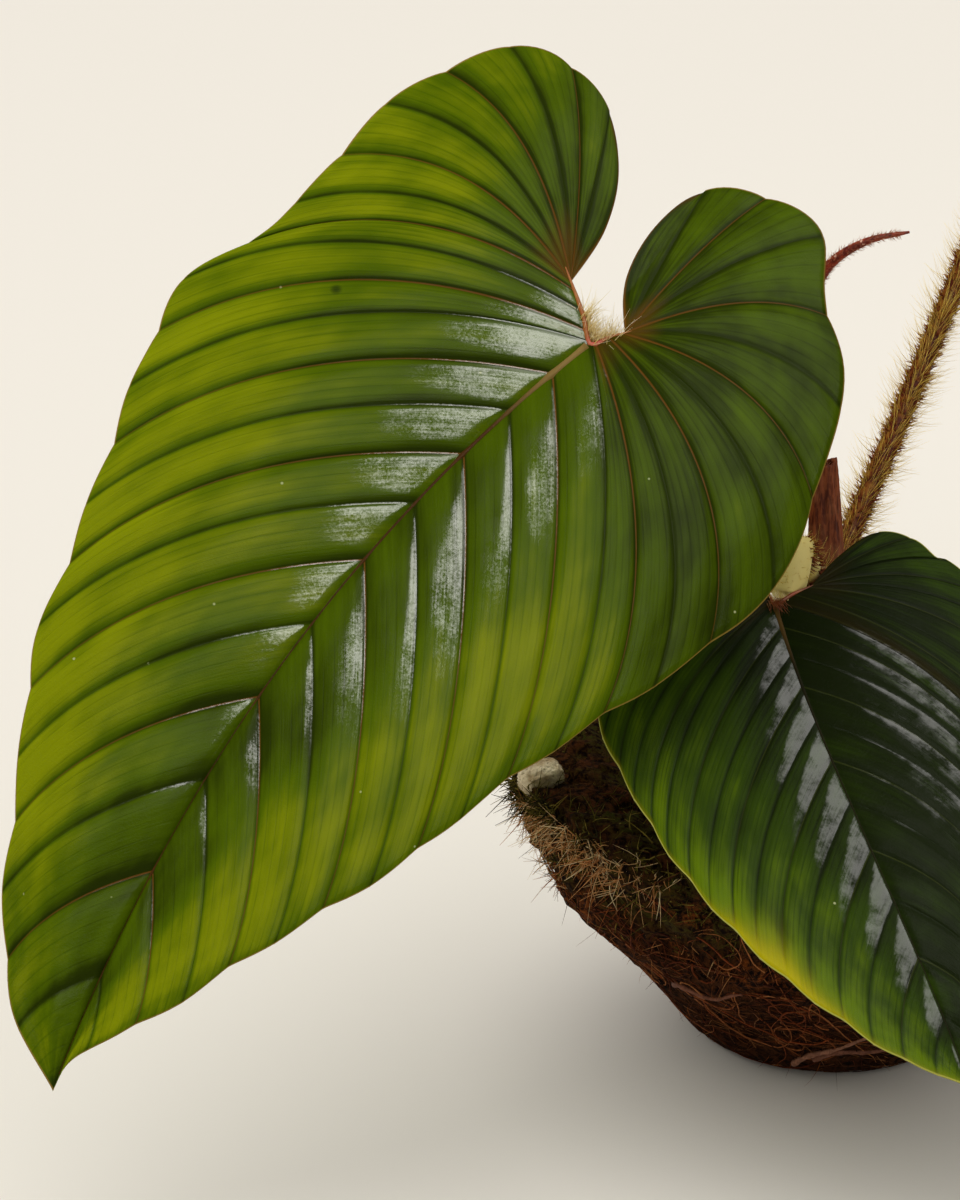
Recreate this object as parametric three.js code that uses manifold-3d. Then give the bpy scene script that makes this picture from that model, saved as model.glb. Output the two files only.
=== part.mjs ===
// A climbing philodendron out of its pot: three pleated, heart-shaped blades on bristly
// petioles, a short stem with air roots, a new shoot in its sheath, and the bare root ball.
// Millimetres, +Z up. The origin lies on the flat spot that the root ball stands on.
// The plant is seen from -Y: the large blade hangs to the left, the small one in front.

import * as THREE from 'three';
import { mergeVertices } from 'three/addons/utils/BufferGeometryUtils.js';
import Module from 'manifold-3d';

const wasm = await Module();
wasm.setup();

// Driving dimensions
const GAP = 0.35; // clearance between neighbouring pieces
const BLADE_THICKNESS = 1.0;
const PETIOLE_RADIUS = 4.2;
const PETIOLE_FOOT_SWELL = 2.2; // more radius where a petiole clasps the stem
const PETIOLE_NECK_SWELL = 1.4; // more radius where it carries its blade
const MIDRIB_RADIUS = 2.3; // at the petiole
const MIDRIB_TIP_RADIUS = 0.7;
const BRISTLE_LENGTH = 5;
const BRISTLE_RADIUS = 0.5;
const BRISTLE_SUNK = 1.2; // depth of a bristle's foot in what it grows from
const BRISTLE_LEAN = 0.35; // lean along the petiole, as a share of the way out
const SHOOT_RADIUS = 3.6;
const SHOOT_BRISTLE_LENGTH = 2.4;
const STEM_RADIUS = 9;
const STEM_TIP_TAPER = 3; // less radius at the growing end
const NODE_COUNT = 5; // rings along the stem, where old leaves were
const NODE_SWELL = 0.9;
const AIR_ROOT_RADIUS = 1.8;
const SOIL_HEIGHT = 85;
const GOLDEN_ANGLE = Math.PI * (3 - Math.sqrt(5));

// Each half of a blade is a fan of pleated panels. Panel edges are the side veins.
const PANELS = 22; // panels on each side, from the sinus to the tip
const BASAL = 11; // side veins that spring from the petiole end
const FIRST_VEIN = 0.125; // share of the margin before the first side vein ends on it
const FIRST_SPACING = 0.6; // gap of the first side veins on the midrib, as a share of the mean gap
const VEIN_REACH = 0.65; // how far a vein keeps its first direction, as a share of its chord
const LOBE_SWING = 23; // degrees that a lobe's vein leaves its chord, away from the tip
const PLEAT_HEIGHT = 0.2; // height of a pleat, as a share of the distance between its veins
const PLEAT_RUN_IN = 5; // mm from the midrib over which a pleat reaches its height
const PLEAT_FADE = 0.45; // share of its height that a pleat loses on its way to the margin
const EDGE_WAVE = 0.007; // depth of the waves of the margin, as a share of the blade's length

// Materials
const paint = (color, roughness) =>
  new THREE.MeshStandardMaterial({ color, roughness, metalness: 0 });
const finishes = {
  blade: paint(0x3f6b12, 0.3),
  darkBlade: paint(0x1f3d14, 0.25),
  petiole: paint(0x6e5428, 0.8),
  shoot: paint(0x7a2f26, 0.7),
  sheath: paint(0x8a4c38, 0.8),
  stem: paint(0x6b5136, 0.9),
  soil: paint(0x38241a, 1.0),
  chip: paint(0xc9bda6, 0.9),
};

// Blades. `at` is where the petiole meets the blade. `facing` turns the upper face about Z from
// -Y towards +X, `tilt` raises it from upright, and `roll` swings the tip about the face's normal.
// Plan coordinates run x from the petiole to the tip and y across, and each margin is a smooth
// line from the sinus to the tip. The midrib starts `lead` to the side and bows by `bow`, most of it
// near the notch where `skew` is above 1. For each half, `swing` is the angle at which the midrib's
// veins leave their chords, and `sweep` below 1 ends its veins nearer the tip.
const largeLeft = [
  [-10, -14], [-29, -15], [-46, -22], [-60, -36], [-65, -55], [-57, -70], [-36, -83],
  [-8, -88], [20, -89], [48, -100], [78, -94], [104, -86], [130, -78], [157, -70],
  [187, -53], [213, -38], [234, -20], [244, 0],
];
const largeRight = [
  [-7, 6], [-22, -3], [-41, -4.5], [-57, 1], [-65, 17], [-63, 33], [-49, 44], [-33, 60],
  [-10, 70], [15, 77], [41, 76], [71, 66], [97, 56], [123, 47], [150, 39], [187, 23],
  [215, 11], [234, 0], [244, 0],
];
const smallLeft = [
  [-4, -5], [-12, -12], [-14, -26], [-8, -42], [5, -55], [18, -62], [36, -64], [57, -61],
  [75, -57], [96, -49], [117, -37], [139, -18], [150, 0],
];
const smallRight = [
  [-2, 7], [-10, 18], [-16, 31], [-13, 42], [-5, 46], [-4, 49], [3, 54], [16, 62],
  [32, 67], [50, 68], [70, 64], [90, 56], [110, 44], [128, 28], [142, 12], [150, 0],
];
const mirrored = (margin) => margin.map(([x, y]) => [x, -y]);
const scaled = (margin, k) => margin.map(([x, y]) => [x * k, y * k]);
const BACK_SCALE = 0.86;

const blades = {
  front: {
    at: [-62.8, -27.6, 216.7], facing: 8, tilt: 38, roll: 39,
    length: 244, lead: 0, bow: -16, skew: 1, droop: 20, lobeDrop: 22, cup: 0.28, arch: 0.004,
    left: largeLeft, right: largeRight, swing: [16, 8], sweep: [0.95, 0.73],
  },
  right: {
    at: [-7.5, -27.9, 142.6], facing: 10, tilt: 58, roll: -7.3,
    length: 150, lead: -4.2, bow: -4.9, skew: 2, droop: 14, lobeDrop: 10, cup: 0.22, arch: 0.004,
    left: smallLeft, right: smallRight, swing: [14, 34], sweep: [0.92, 0.42],
  },
  back: {
    at: [116, 182, 254], facing: 68, tilt: 42, roll: -8,
    length: 244 * BACK_SCALE, lead: 0, bow: 12, skew: 1, droop: 24, lobeDrop: 18, cup: 0.26, arch: 0.0042,
    left: scaled(mirrored(largeRight), BACK_SCALE), right: scaled(mirrored(largeLeft), BACK_SCALE),
    swing: [8, 16], sweep: [0.73, 0.95],
  },
};

// Stem, petioles and shoot, as points along their middle lines
const stemLine = [[2, 8, 36], [3, 10, 60], [5, 14, 85], [7, 22, 110], [8, 30, 132]];
const airRoots = [
  [[4, 14, 92], [-14, 6, 96], [-30, -2, 90], [-36, -5, 78], [-38, -6, 66]],
  [[6, 18, 100], [22, 6, 104], [36, -4, 95], [42, -9, 80], [44, -10, 66]],
  [[6, 20, 104], [14, 40, 106], [22, 52, 94], [25, 56, 78], [26, 58, 66]],
];
// Each petiole ends in its blade's notch, this far from `at` along the blade and across it.
const JOINT_ALONG = -2.5;
const JOINT_ACROSS = 1.5;
const petioleLines = {
  front: [
    [0, 24, 106], [-12, 32, 124], [-28, 38, 154], [-44, 30, 184], [-54, 12, 201], [-60, -12, 210],
  ],
  right: [[5, 20, 114], [2, 9, 134], [-1, -3, 148], [-4, -15, 151]],
  back: [
    [10, 28, 113], [16, 48, 130], [36, 87, 159], [56, 122, 192], [74, 148, 222], [94, 170, 247],
    [110, 181, 257],
  ],
};
const shootLine = [
  [8, 30.5, 129], [6, 35, 160], [2, 36, 181], [1, 37, 202], [3, 37, 213], [8, 36, 222.5],
  [18, 35.5, 229], [30, 36, 231.5],
];

// Helpers

// A closed geometry as a solid for joining and cutting.
function toSolid(geometry) {
  const bare = geometry.clone();
  bare.deleteAttribute('normal');
  bare.deleteAttribute('uv');
  const merged = mergeVertices(bare, 1e-4);
  const index = merged.index.array;
  const kept = [];
  for (let i = 0; i < index.length; i += 3) {
    const [a, b, c] = index.slice(i, i + 3);
    if (a !== b && b !== c && c !== a) kept.push(a, b, c);
  }
  return new wasm.Manifold(new wasm.Mesh({
    numProp: 3,
    vertProperties: merged.attributes.position.array,
    triVerts: new Uint32Array(kept),
  }));
}

// A closed geometry as a solid whose faces point out, whichever way they pointed before.
function outwards(geometry) {
  const made = toSolid(geometry);
  if (made.volume() > 0) return made;
  const turned = geometry.clone();
  const index = turned.index.array;
  for (let i = 0; i < index.length; i += 3) [index[i], index[i + 1]] = [index[i + 1], index[i]];
  return toSolid(turned);
}

// The largest body of a solid as a geometry. A cut can leave scraps, which are dropped.
function toGeometry(solid) {
  const largest = solid.decompose().reduce((a, b) => (b.volume() > a.volume() ? b : a));
  const mesh = largest.getMesh();
  const geometry = new THREE.BufferGeometry();
  geometry.setAttribute('position', new THREE.BufferAttribute(mesh.vertProperties, 3));
  geometry.setIndex(new THREE.BufferAttribute(mesh.triVerts, 1));
  return geometry;
}

const vector = ([x, y, z]) => new THREE.Vector3(x, y, z);
const curveThrough = (points) => new THREE.CatmullRomCurve3(points.map(vector));
const smoothstep = THREE.MathUtils.smoothstep;

// A round rod along a curve, with its radius given by a function of the share of its length.
function rod(curve, radiusAt, steps, sides) {
  const geometry = new THREE.CylinderGeometry(1, 1, 1, sides, steps);
  const frames = curve.computeFrenetFrames(steps, false);
  const position = geometry.attributes.position;
  for (let i = 0; i < position.count; i++) {
    const step = Math.round((0.5 - position.getY(i)) * steps);
    const share = step / steps;
    const radius = radiusAt(share);
    const point = curve.getPointAt(share)
      .addScaledVector(frames.normals[step], position.getX(i) * radius)
      .addScaledVector(frames.binormals[step], position.getZ(i) * radius);
    position.setXYZ(i, point.x, point.y, point.z);
  }
  return outwards(geometry);
}

// Three-sided bristles that stand out of a rod all round it, in golden-angle order, between
// two shares of its length.
function bristles(curve, radiusAt, count, length, from, to) {
  const cone = new THREE.ConeGeometry(BRISTLE_RADIUS, length + BRISTLE_SUNK, 3, 1);
  cone.translate(0, (length - BRISTLE_SUNK) / 2, 0);
  const up = new THREE.Vector3(0, 1, 0);
  const evenly = new THREE.Vector3(1, 1, 1);
  const steps = 200;
  const frames = curve.computeFrenetFrames(steps, false);
  const made = [];
  for (let i = 0; i < count; i++) {
    const share = from + (to - from) * (i + 0.5) / count;
    const step = Math.round(share * steps);
    const angle = i * GOLDEN_ANGLE;
    const outward = frames.normals[step].clone().multiplyScalar(Math.cos(angle))
      .addScaledVector(frames.binormals[step], Math.sin(angle));
    const lean = outward.clone().addScaledVector(frames.tangents[step], BRISTLE_LEAN).normalize();
    const foot = curve.getPointAt(share).addScaledVector(outward, radiusAt(share));
    const turn = new THREE.Quaternion().setFromUnitVectors(up, lean);
    const place = new THREE.Matrix4().compose(foot, turn, evenly);
    made.push(toSolid(cone.clone().applyMatrix4(place)));
  }
  return made;
}

// Closes two like sheets, one in front of the other, into a solid with a wall round their edge.
function closeFaces(front, back, index) {
  const count = front.length / 3;
  const points = Float32Array.from([...front, ...back]);
  const triangles = [];
  const edges = new Map();
  for (let i = 0; i < index.length; i += 3) {
    const [a, b, c] = index.slice(i, i + 3);
    if (a === b || b === c || c === a) continue;
    triangles.push(a, b, c, c + count, b + count, a + count);
    for (const [p, q] of [[a, b], [b, c], [c, a]]) edges.set(`${p} ${q}`, [p, q]);
  }
  for (const [p, q] of edges.values()) {
    if (edges.has(`${q} ${p}`)) continue;
    triangles.push(q, p, q + count, p, p + count, q + count);
  }
  const geometry = new THREE.BufferGeometry();
  geometry.setAttribute('position', new THREE.BufferAttribute(points, 3));
  geometry.setIndex(triangles);
  return outwards(geometry);
}

// The triangles of a grid of points with the given rows and columns of cells.
function gridIndex(rows, across) {
  const index = [];
  for (let i = 0; i < rows; i++) {
    for (let j = 0; j < across; j++) {
      const p = i * (across + 1) + j;
      const s = p + across + 1;
      index.push(p, p + 1, s + 1, p, s + 1, s);
    }
  }
  return index;
}

// Turns an open sheet into a closed solid: the sheet is moved half the thickness each way along
// `normal`.
function thicken(sheet, normal, thickness) {
  const merged = mergeVertices(sheet, 1e-3);
  const source = merged.attributes.position;
  const [front, back] = [0.5, -0.5].map((share) => {
    const points = [];
    const shift = normal.clone().multiplyScalar(share * thickness);
    for (let i = 0; i < source.count; i++) {
      points.push(source.getX(i) + shift.x, source.getY(i) + shift.y, source.getZ(i) + shift.z);
    }
    return points;
  });
  return closeFaces(front, back, merged.index.array);
}

// Blades

// The three directions of a blade: a to the tip, b across, and n out of the upper face.
function bladeAxes({ facing, tilt, roll }) {
  const [turn, rise, swing] = [facing, tilt, roll].map(THREE.MathUtils.degToRad);
  const n = new THREE.Vector3(
    Math.sin(turn) * Math.cos(rise), -Math.cos(turn) * Math.cos(rise), Math.sin(rise));
  const level = new THREE.Vector3(Math.cos(turn), Math.sin(turn), 0);
  const down = level.clone().cross(n);
  const a = down.multiplyScalar(Math.cos(swing)).addScaledVector(level, -Math.sin(swing));
  return { a, b: n.clone().cross(a), n };
}

const midribY = (blade, x) => {
  const t = THREE.MathUtils.clamp(x / blade.length, 0, 1);
  return blade.lead * (1 - t) + blade.bow * 4 * t * (1 - t) ** blade.skew;
};

// Height of the unpleated blade over its plan: both halves rise from the midrib and arch down
// to the margin, and the tip and the lobes droop.
function bladeHeight(blade, x, y) {
  const t = x / blade.length;
  const along = t > 0 ? -blade.droop * t * t : -blade.lobeDrop * t * t;
  const width = Math.abs(y - midribY(blade, x));
  return along + blade.cup * width - blade.arch * width * width;
}

// Where side vein number `vein` leaves the rib. The first ones leave the notch's corner together.
const LEFT_GATHERED = 7;
const RIGHT_GATHERED = 5;
function veinFoot(blade, side, vein) {
  const [sx, sy] = (side < 0 ? blade.left : blade.right)[0];
  if (vein < BASAL) {
    const t = 1 - smoothstep(vein, side < 0 ? LEFT_GATHERED : RIGHT_GATHERED, BASAL);
    return new THREE.Vector2(sx * t, sy * t + blade.lead * (1 - t));
  }
  const share = (vein - BASAL) / (PANELS - BASAL);
  const x = blade.length * share * (FIRST_SPACING + (1 - FIRST_SPACING) * share);
  return new THREE.Vector2(x, midribY(blade, x));
}

// How far the panel bulges between two of the deeper creases, from 0 to 1, and between any two.
const bulge = (vein) => Math.abs(Math.sin(Math.PI * vein / 2));
const smallBulge = (vein) => Math.abs(Math.sin(Math.PI * vein));

// A point of the plan: `vein` counts side veins from the sinus and may lie between two, and
// `r` runs along the vein from the rib, 0, to the margin, 1.
function planPoint(blade, margins, side, vein, r) {
  const margin = margins[side < 0 ? 0 : 1];
  if (vein < 1) {
    const edge = margin.getPointAt(r * FIRST_VEIN);
    return edge.lerp(planPoint(blade, margins, side, 1, r), vein);
  }
  const foot = veinFoot(blade, side, vein);
  const half = side < 0 ? 0 : 1;
  const even = (vein - 1) / (PANELS - 1);
  const share = THREE.MathUtils.lerp(even, even ** blade.sweep[half], smoothstep(vein, 2, 9));
  const end = margin.getPointAt(FIRST_VEIN + (1 - FIRST_VEIN) * share);
  const still = smoothstep(PANELS - vein, 0, 3);
  const wave = EDGE_WAVE * blade.length * (bulge(vein) - 0.6) * still;
  end.add(end.clone().sub(foot).setLength(wave));
  const degrees = THREE.MathUtils.lerp(LOBE_SWING, blade.swing[half], smoothstep(vein, 7, 13));
  const swing = side * THREE.MathUtils.degToRad(degrees) * smoothstep(vein, 0, 6);
  const bend = end.clone().sub(foot).rotateAround(new THREE.Vector2(), swing)
    .multiplyScalar(VEIN_REACH).add(foot);
  return foot.multiplyScalar((1 - r) ** 2).addScaledVector(bend, 2 * r * (1 - r))
    .addScaledVector(end, r * r);
}

// Height of the pleats: a crease on every vein, and a deeper one on every second.
function pleatHeight(blade, margins, side, vein, r) {
  const before = planPoint(blade, margins, side, Math.max(0, vein - 0.5), r);
  const after = planPoint(blade, margins, side, Math.min(PANELS, vein + 0.5), r);
  const profile = 0.5 * bulge(vein) + 0.5 * smallBulge(vein);
  const foot = veinFoot(blade, side, vein);
  const run = planPoint(blade, margins, side, vein, r).distanceTo(foot);
  const fade = (1 - Math.exp(-run / PLEAT_RUN_IN)) * (1 - PLEAT_FADE * r * r);
  return PLEAT_HEIGHT * before.distanceTo(after) * profile * fade;
}

// The blade's middle surface as a sheet of triangles.
function bladeSheet(blade, rows, stations, pleated) {
  const { a, b, n } = bladeAxes(blade);
  const origin = vector(blade.at);
  const margins = [blade.left, blade.right].map(
    (points) => new THREE.SplineCurve(points.map(([x, y]) => new THREE.Vector2(x, y))));
  const points = [];
  const index = [];
  for (const side of [-1, 1]) {
    const first = points.length / 3;
    const across = stations.length;
    for (let i = 0; i <= rows; i++) {
      const vein = (PANELS * i) / rows;
      for (const r of stations) {
        const { x, y } = planPoint(blade, margins, side, vein, r);
        const lift = pleated ? pleatHeight(blade, margins, side, vein, r) : 0;
        const z = bladeHeight(blade, x, y) + lift;
        const p = origin.clone().addScaledVector(a, x).addScaledVector(b, y).addScaledVector(n, z);
        points.push(p.x, p.y, p.z);
      }
    }
    for (let i = 0; i < rows; i++) {
      for (let j = 0; j < across - 1; j++) {
        const p = first + i * across + j;
        const [q, s, t] = [p + 1, p + across, p + across + 1];
        if (side < 0) index.push(p, q, t, p, t, s);
        else index.push(p, t, q, p, s, t);
      }
    }
  }
  const sheet = new THREE.BufferGeometry();
  sheet.setAttribute('position', new THREE.Float32BufferAttribute(points, 3));
  sheet.setIndex(index);
  return { sheet, n, a };
}

// The raised rib on the blade's underside.
function midrib(blade) {
  const { a, b, n } = bladeAxes(blade);
  const origin = vector(blade.at);
  const radiusAt = (share) => THREE.MathUtils.lerp(MIDRIB_RADIUS, MIDRIB_TIP_RADIUS, share);
  const line = [];
  for (let i = 0; i <= 8; i++) {
    const x = blade.length * THREE.MathUtils.lerp(0.015, 0.97, i / 8);
    const y = midribY(blade, x);
    const z = bladeHeight(blade, x, y) - radiusAt(i / 8) * 0.95;
    line.push(origin.clone().addScaledVector(a, x).addScaledVector(b, y).addScaledVector(n, z));
  }
  return rod(new THREE.CatmullRomCurve3(line), radiusAt, 12, 6);
}

const BLADE_ROWS = PANELS * 2;
const BLADE_STATIONS = [0, 0.08, 0.25, 0.5, 0.76, 1];

function makeBlade(blade) {
  const { sheet, n } = bladeSheet(blade, BLADE_ROWS, BLADE_STATIONS, true);
  return thicken(sheet, n, BLADE_THICKNESS).add(midrib(blade));
}

// A plain, slightly thicker blade that clears the space a petiole must leave it.
function bladeClearance(blade) {
  const { sheet, n, a } = bladeSheet(blade, PANELS, [0, 0.1, 0.4, 1], false);
  const plain = thicken(sheet, n, BLADE_THICKNESS + 2 * GAP);
  const shift = a.multiplyScalar(-GAP);
  return plain.add(plain.translate([shift.x, shift.y, shift.z]));
}

// Stem with its air roots
function makeStem(grow) {
  const line = stemLine.map(([x, y, z], i) => {
    if (i === 0) return [x, y, z - grow];
    return i === stemLine.length - 1 ? [x, y, z + grow] : [x, y, z];
  });
  const ringed = (share) => STEM_RADIUS + grow
    + NODE_SWELL * Math.cos(share * Math.PI * 2 * NODE_COUNT)
    - STEM_TIP_TAPER * smoothstep(share, 0.9, 1);
  let stem = rod(curveThrough(line), ringed, 24, 10);
  for (const line of airRoots) {
    stem = stem.add(rod(curveThrough(line), () => AIR_ROOT_RADIUS + grow, 10, 5));
  }
  return stem;
}

// Petioles
function makePetiole(name, count) {
  const blade = blades[name];
  const { a, b, n } = bladeAxes(blade);
  const joint = vector(blade.at)
    .addScaledVector(a, JOINT_ALONG).addScaledVector(b, JOINT_ACROSS).addScaledVector(n, 0.5);
  const curve = curveThrough([...petioleLines[name], joint.toArray()]);
  const radiusAt = (share) => PETIOLE_RADIUS
    + PETIOLE_FOOT_SWELL * (1 - smoothstep(share, 0, 0.16))
    + PETIOLE_NECK_SWELL * smoothstep(share, 0.8, 1);
  const steps = name === 'right' ? 12 : 20;
  const joined = wasm.Manifold.union([
    rod(curve, radiusAt, steps, 8),
    ...bristles(curve, radiusAt, count, BRISTLE_LENGTH, 0.1, 0.97),
  ]);
  return joined.subtract(bladeClearance(blade)).subtract(makeStem(GAP));
}

// New shoot, with short bristles, that rises out of its sheath
const shootCurve = curveThrough(shootLine);
const shootRadius = (share) => SHOOT_RADIUS * (1 - 0.8 * share);
function makeShoot() {
  return wasm.Manifold.union([
    rod(shootCurve, shootRadius, 22, 8),
    ...bristles(shootCurve, shootRadius, 70, SHOOT_BRISTLE_LENGTH, 0.3, 0.97),
  ]).subtract(makeStem(GAP));
}

// Papery sheath round the shoot's foot: a narrowing tube, open at the back
const SHEATH_FROM = 130;
const SHEATH_TO = 164;
const SHEATH_RADIUS = 6.4;
const SHEATH_NARROWS = 1.2; // less radius at the top
const SHEATH_WRAP = 2.2; // radians to each side at the foot
const SHEATH_TOP_WRAP = 2;
function makeSheath() {
  const rows = 8;
  const across = 10;
  const [inner, outer] = [SHEATH_RADIUS, SHEATH_RADIUS + BLADE_THICKNESS].map((radius) => {
    const points = [];
    for (let i = 0; i <= rows; i++) {
      const up = i / rows;
      const middle = shootCurve.getPointAt(0.26 * up);
      const r = radius - SHEATH_NARROWS * up;
      for (let j = 0; j <= across; j++) {
        const share = 2 * j / across - 1;
        const angle = -0.2 + share * THREE.MathUtils.lerp(SHEATH_WRAP, SHEATH_TOP_WRAP, up);
        const z = THREE.MathUtils.lerp(SHEATH_FROM, SHEATH_TO, up * (1 - 0.06 * share * share));
        points.push(middle.x + r * Math.cos(angle), middle.y + r * Math.sin(angle), z);
      }
    }
    return points;
  });
  return closeFaces(inner, outer, gridIndex(rows, across)).subtract(makeStem(GAP));
}

// Root ball: a bowl-shaped mass of soil, moss and roots, broken away low on one side
const bowl = [
  [0, 0], [36, 0], [41, 3], [47, 12], [56, 24], [66, 36], [73, 47], [79, 60], [83, 74],
  [80, 83], [62, SOIL_HEIGHT + 1], [38, SOIL_HEIGHT], [16, SOIL_HEIGHT + 1], [0, SOIL_HEIGHT + 1],
];
const BOWL_SHIFT = 10; // mm that the foot stands off the rim's middle
const RIM_POINT = 9; // the point of the outline where the side turns over into the top
const LUMP_HEIGHT = 2.4;
const LUMPS_FROM = 14; // height above which the lumps are full, so that the foot stays flat
const ROOT_RADIUS = 1.6;
// Roots that circle the ball, from one compass angle and height to another
const circlingRoots = [
  { from: 196, to: 262, low: 52, high: 44 },
  { from: 222, to: 300, low: 30, high: 20 },
  { from: 248, to: 318, low: 14, high: 24 },
  { from: 262, to: 330, low: 20, high: 34 },
  { from: 20, to: 84, low: 30, high: 50 },
  { from: 100, to: 178, low: 46, high: 34 },
  { from: 130, to: 190, low: 24, high: 38 },
];

// Lumps of the ball's side, as a share of their full height.
function lumps(angle, z) {
  return 0.5 * Math.sin(3 * angle + 0.07 * z + 0.6) * Math.cos(0.11 * z)
    + 0.3 * Math.sin(7 * angle - 0.12 * z + 2.1)
    + 0.3 * Math.sin(11 * angle + 0.19 * z);
}

// A point of the ball's side, `out` mm off it. Its foot stands off the rim's middle.
function onBall(angle, radius, z, out = 0) {
  const settled = smoothstep(z, 0, LUMPS_FROM);
  const r = radius < 1 ? radius : radius + out + LUMP_HEIGHT * lumps(angle, z) * settled;
  const shift = BOWL_SHIFT * (1 - Math.min(1, z / SOIL_HEIGHT));
  return new THREE.Vector3(r * Math.cos(angle) + shift, r * Math.sin(angle), z);
}

// The ball's side radius at a height.
function sideRadius(z) {
  const side = bowl.slice(1, RIM_POINT);
  const upper = side.findIndex(([, height]) => height >= z);
  const [[r0, z0], [r1, z1]] = [side[upper - 1], side[upper]];
  return THREE.MathUtils.mapLinear(z, z0, z1, r0, r1);
}

function circlingRoot({ from, to, low, high }) {
  const points = [];
  for (let i = 0; i <= 8; i++) {
    const angle = THREE.MathUtils.degToRad(from + (to - from) * i / 8);
    const z = low + (high - low) * i / 8 + 1.5 * Math.sin(i);
    points.push(onBall(angle, sideRadius(z), z, 0.5 * ROOT_RADIUS));
  }
  return rod(new THREE.CatmullRomCurve3(points), () => ROOT_RADIUS, 10, 4);
}

function makeRootBall() {
  const profile = bowl.map(([r, z]) => new THREE.Vector2(r, z));
  const lathe = new THREE.LatheGeometry(profile, 36);
  lathe.rotateX(Math.PI / 2);
  const position = lathe.attributes.position;
  for (let i = 0; i < position.count; i++) {
    const [x, y, z] = [position.getX(i), position.getY(i), position.getZ(i)];
    const angle = Math.atan2(y, x);
    const radius = Math.hypot(x, y);
    const p = onBall(angle, radius, z);
    const mound = z > 80 && radius > 1 ? LUMP_HEIGHT * lumps(angle, radius) : 0;
    position.setXYZ(i, p.x, p.y, z + mound);
  }
  return wasm.Manifold.union([outwards(lathe), ...circlingRoots.map(circlingRoot)])
    .subtract(makeStem(GAP)).subtract(makeChip(GAP));
}

// Pale chip caught in the rim
const CHIP_AT = [-75.5, -18, 84.5];
const CHIP_HALF = [7.5, 5, 4.5];
function makeChip(grow) {
  const chip = new THREE.IcosahedronGeometry(1, 1);
  chip.scale(...CHIP_HALF.map((half) => half + grow));
  chip.rotateZ(0.5);
  chip.rotateX(0.3);
  chip.translate(...CHIP_AT);
  return toSolid(chip);
}

// Assembly
const plant = new THREE.Group();
function addPiece(name, solid, material) {
  const mesh = new THREE.Mesh(toGeometry(solid), material);
  mesh.name = name;
  plant.add(mesh);
}

addPiece('root_ball', makeRootBall(), finishes.soil);
addPiece('pale_chip', makeChip(0), finishes.chip);
addPiece('stem', makeStem(0), finishes.stem);
addPiece('blade_front', makeBlade(blades.front), finishes.blade);
addPiece('blade_right', makeBlade(blades.right), finishes.darkBlade);
addPiece('blade_back', makeBlade(blades.back), finishes.blade);
addPiece('petiole_front', makePetiole('front', 90), finishes.petiole);
addPiece('petiole_right', makePetiole('right', 40), finishes.petiole);
addPiece('petiole_back', makePetiole('back', 100), finishes.petiole);
addPiece('new_shoot', makeShoot(), finishes.shoot);
addPiece('sheath', makeSheath(), finishes.sheath);

export default plant;
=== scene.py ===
# %% [markdown]
# # A climbing philodendron out of its pot
# The solids of the plant come from the packed model: three pleated blades, their petioles, a
# stem, a new shoot in its sheath, and the bare root ball. This file gives them their looks. Each
# step says what the real thing is like and why it is made the way it is.
#
# The first cell loads the packed model. Its solids stay where they are, and everything made here
# is measured from them.

import math
from dataclasses import dataclass

import bmesh
import bpy
import numpy as np
from mathutils import Matrix, Vector, noise


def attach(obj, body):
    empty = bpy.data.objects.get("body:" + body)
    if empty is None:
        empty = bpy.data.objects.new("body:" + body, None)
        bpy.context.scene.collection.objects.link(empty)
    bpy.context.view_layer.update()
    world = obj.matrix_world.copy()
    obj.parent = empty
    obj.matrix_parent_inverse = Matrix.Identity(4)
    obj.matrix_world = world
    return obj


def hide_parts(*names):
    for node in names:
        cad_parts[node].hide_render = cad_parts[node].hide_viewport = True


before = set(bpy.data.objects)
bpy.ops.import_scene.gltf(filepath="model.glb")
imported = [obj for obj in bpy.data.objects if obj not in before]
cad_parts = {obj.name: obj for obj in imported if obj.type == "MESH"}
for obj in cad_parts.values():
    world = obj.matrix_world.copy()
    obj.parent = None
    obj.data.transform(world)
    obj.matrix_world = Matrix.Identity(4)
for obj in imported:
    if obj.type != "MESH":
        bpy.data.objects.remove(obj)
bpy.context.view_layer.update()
MM = 0.001
rng = np.random.default_rng(7)
print("solids:", ", ".join(sorted(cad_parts)))

# %% [markdown]
# ## Camera
# A lens of 100 mm on a sensor 36 mm high, turned 20 degrees down, looks straight along +Y. A long
# lens keeps the near blade from swelling, which is how plants are photographed.

# %% Camera
CAMERA_DOWN = math.radians(20)
CAMERA_AT = Vector((-93.0, -897.1, 459.0)) * MM

camera_data = bpy.data.cameras.new("camera")
camera_data.lens = 100
camera_data.sensor_fit = "VERTICAL"
camera_data.sensor_height = 36
camera_data.clip_end = 20
camera = bpy.data.objects.new("camera", camera_data)
camera.location = CAMERA_AT
camera.rotation_euler = (math.pi / 2 - CAMERA_DOWN, 0, 0)
bpy.context.scene.collection.objects.link(camera)
bpy.context.scene.camera = camera
bpy.context.scene.view_settings.view_transform = "Standard"
print("camera at", [round(v, 3) for v in camera.location])

# %% [markdown]
# ## Floor and light
# The plant stands on a pale, plain surface that fills the frame. Light does two jobs here, and
# each lamp does only one. A very wide sun, like a bright overcast sky, and the plain world shade
# the colours softly and don't show in the gloss. Two round softboxes show in the gloss alone: one
# hangs where the front blade mirrors it, the other where the right blade does. With one set of
# lamps for both jobs, a shine bright enough for the wax would also turn the greens pale.

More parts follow.
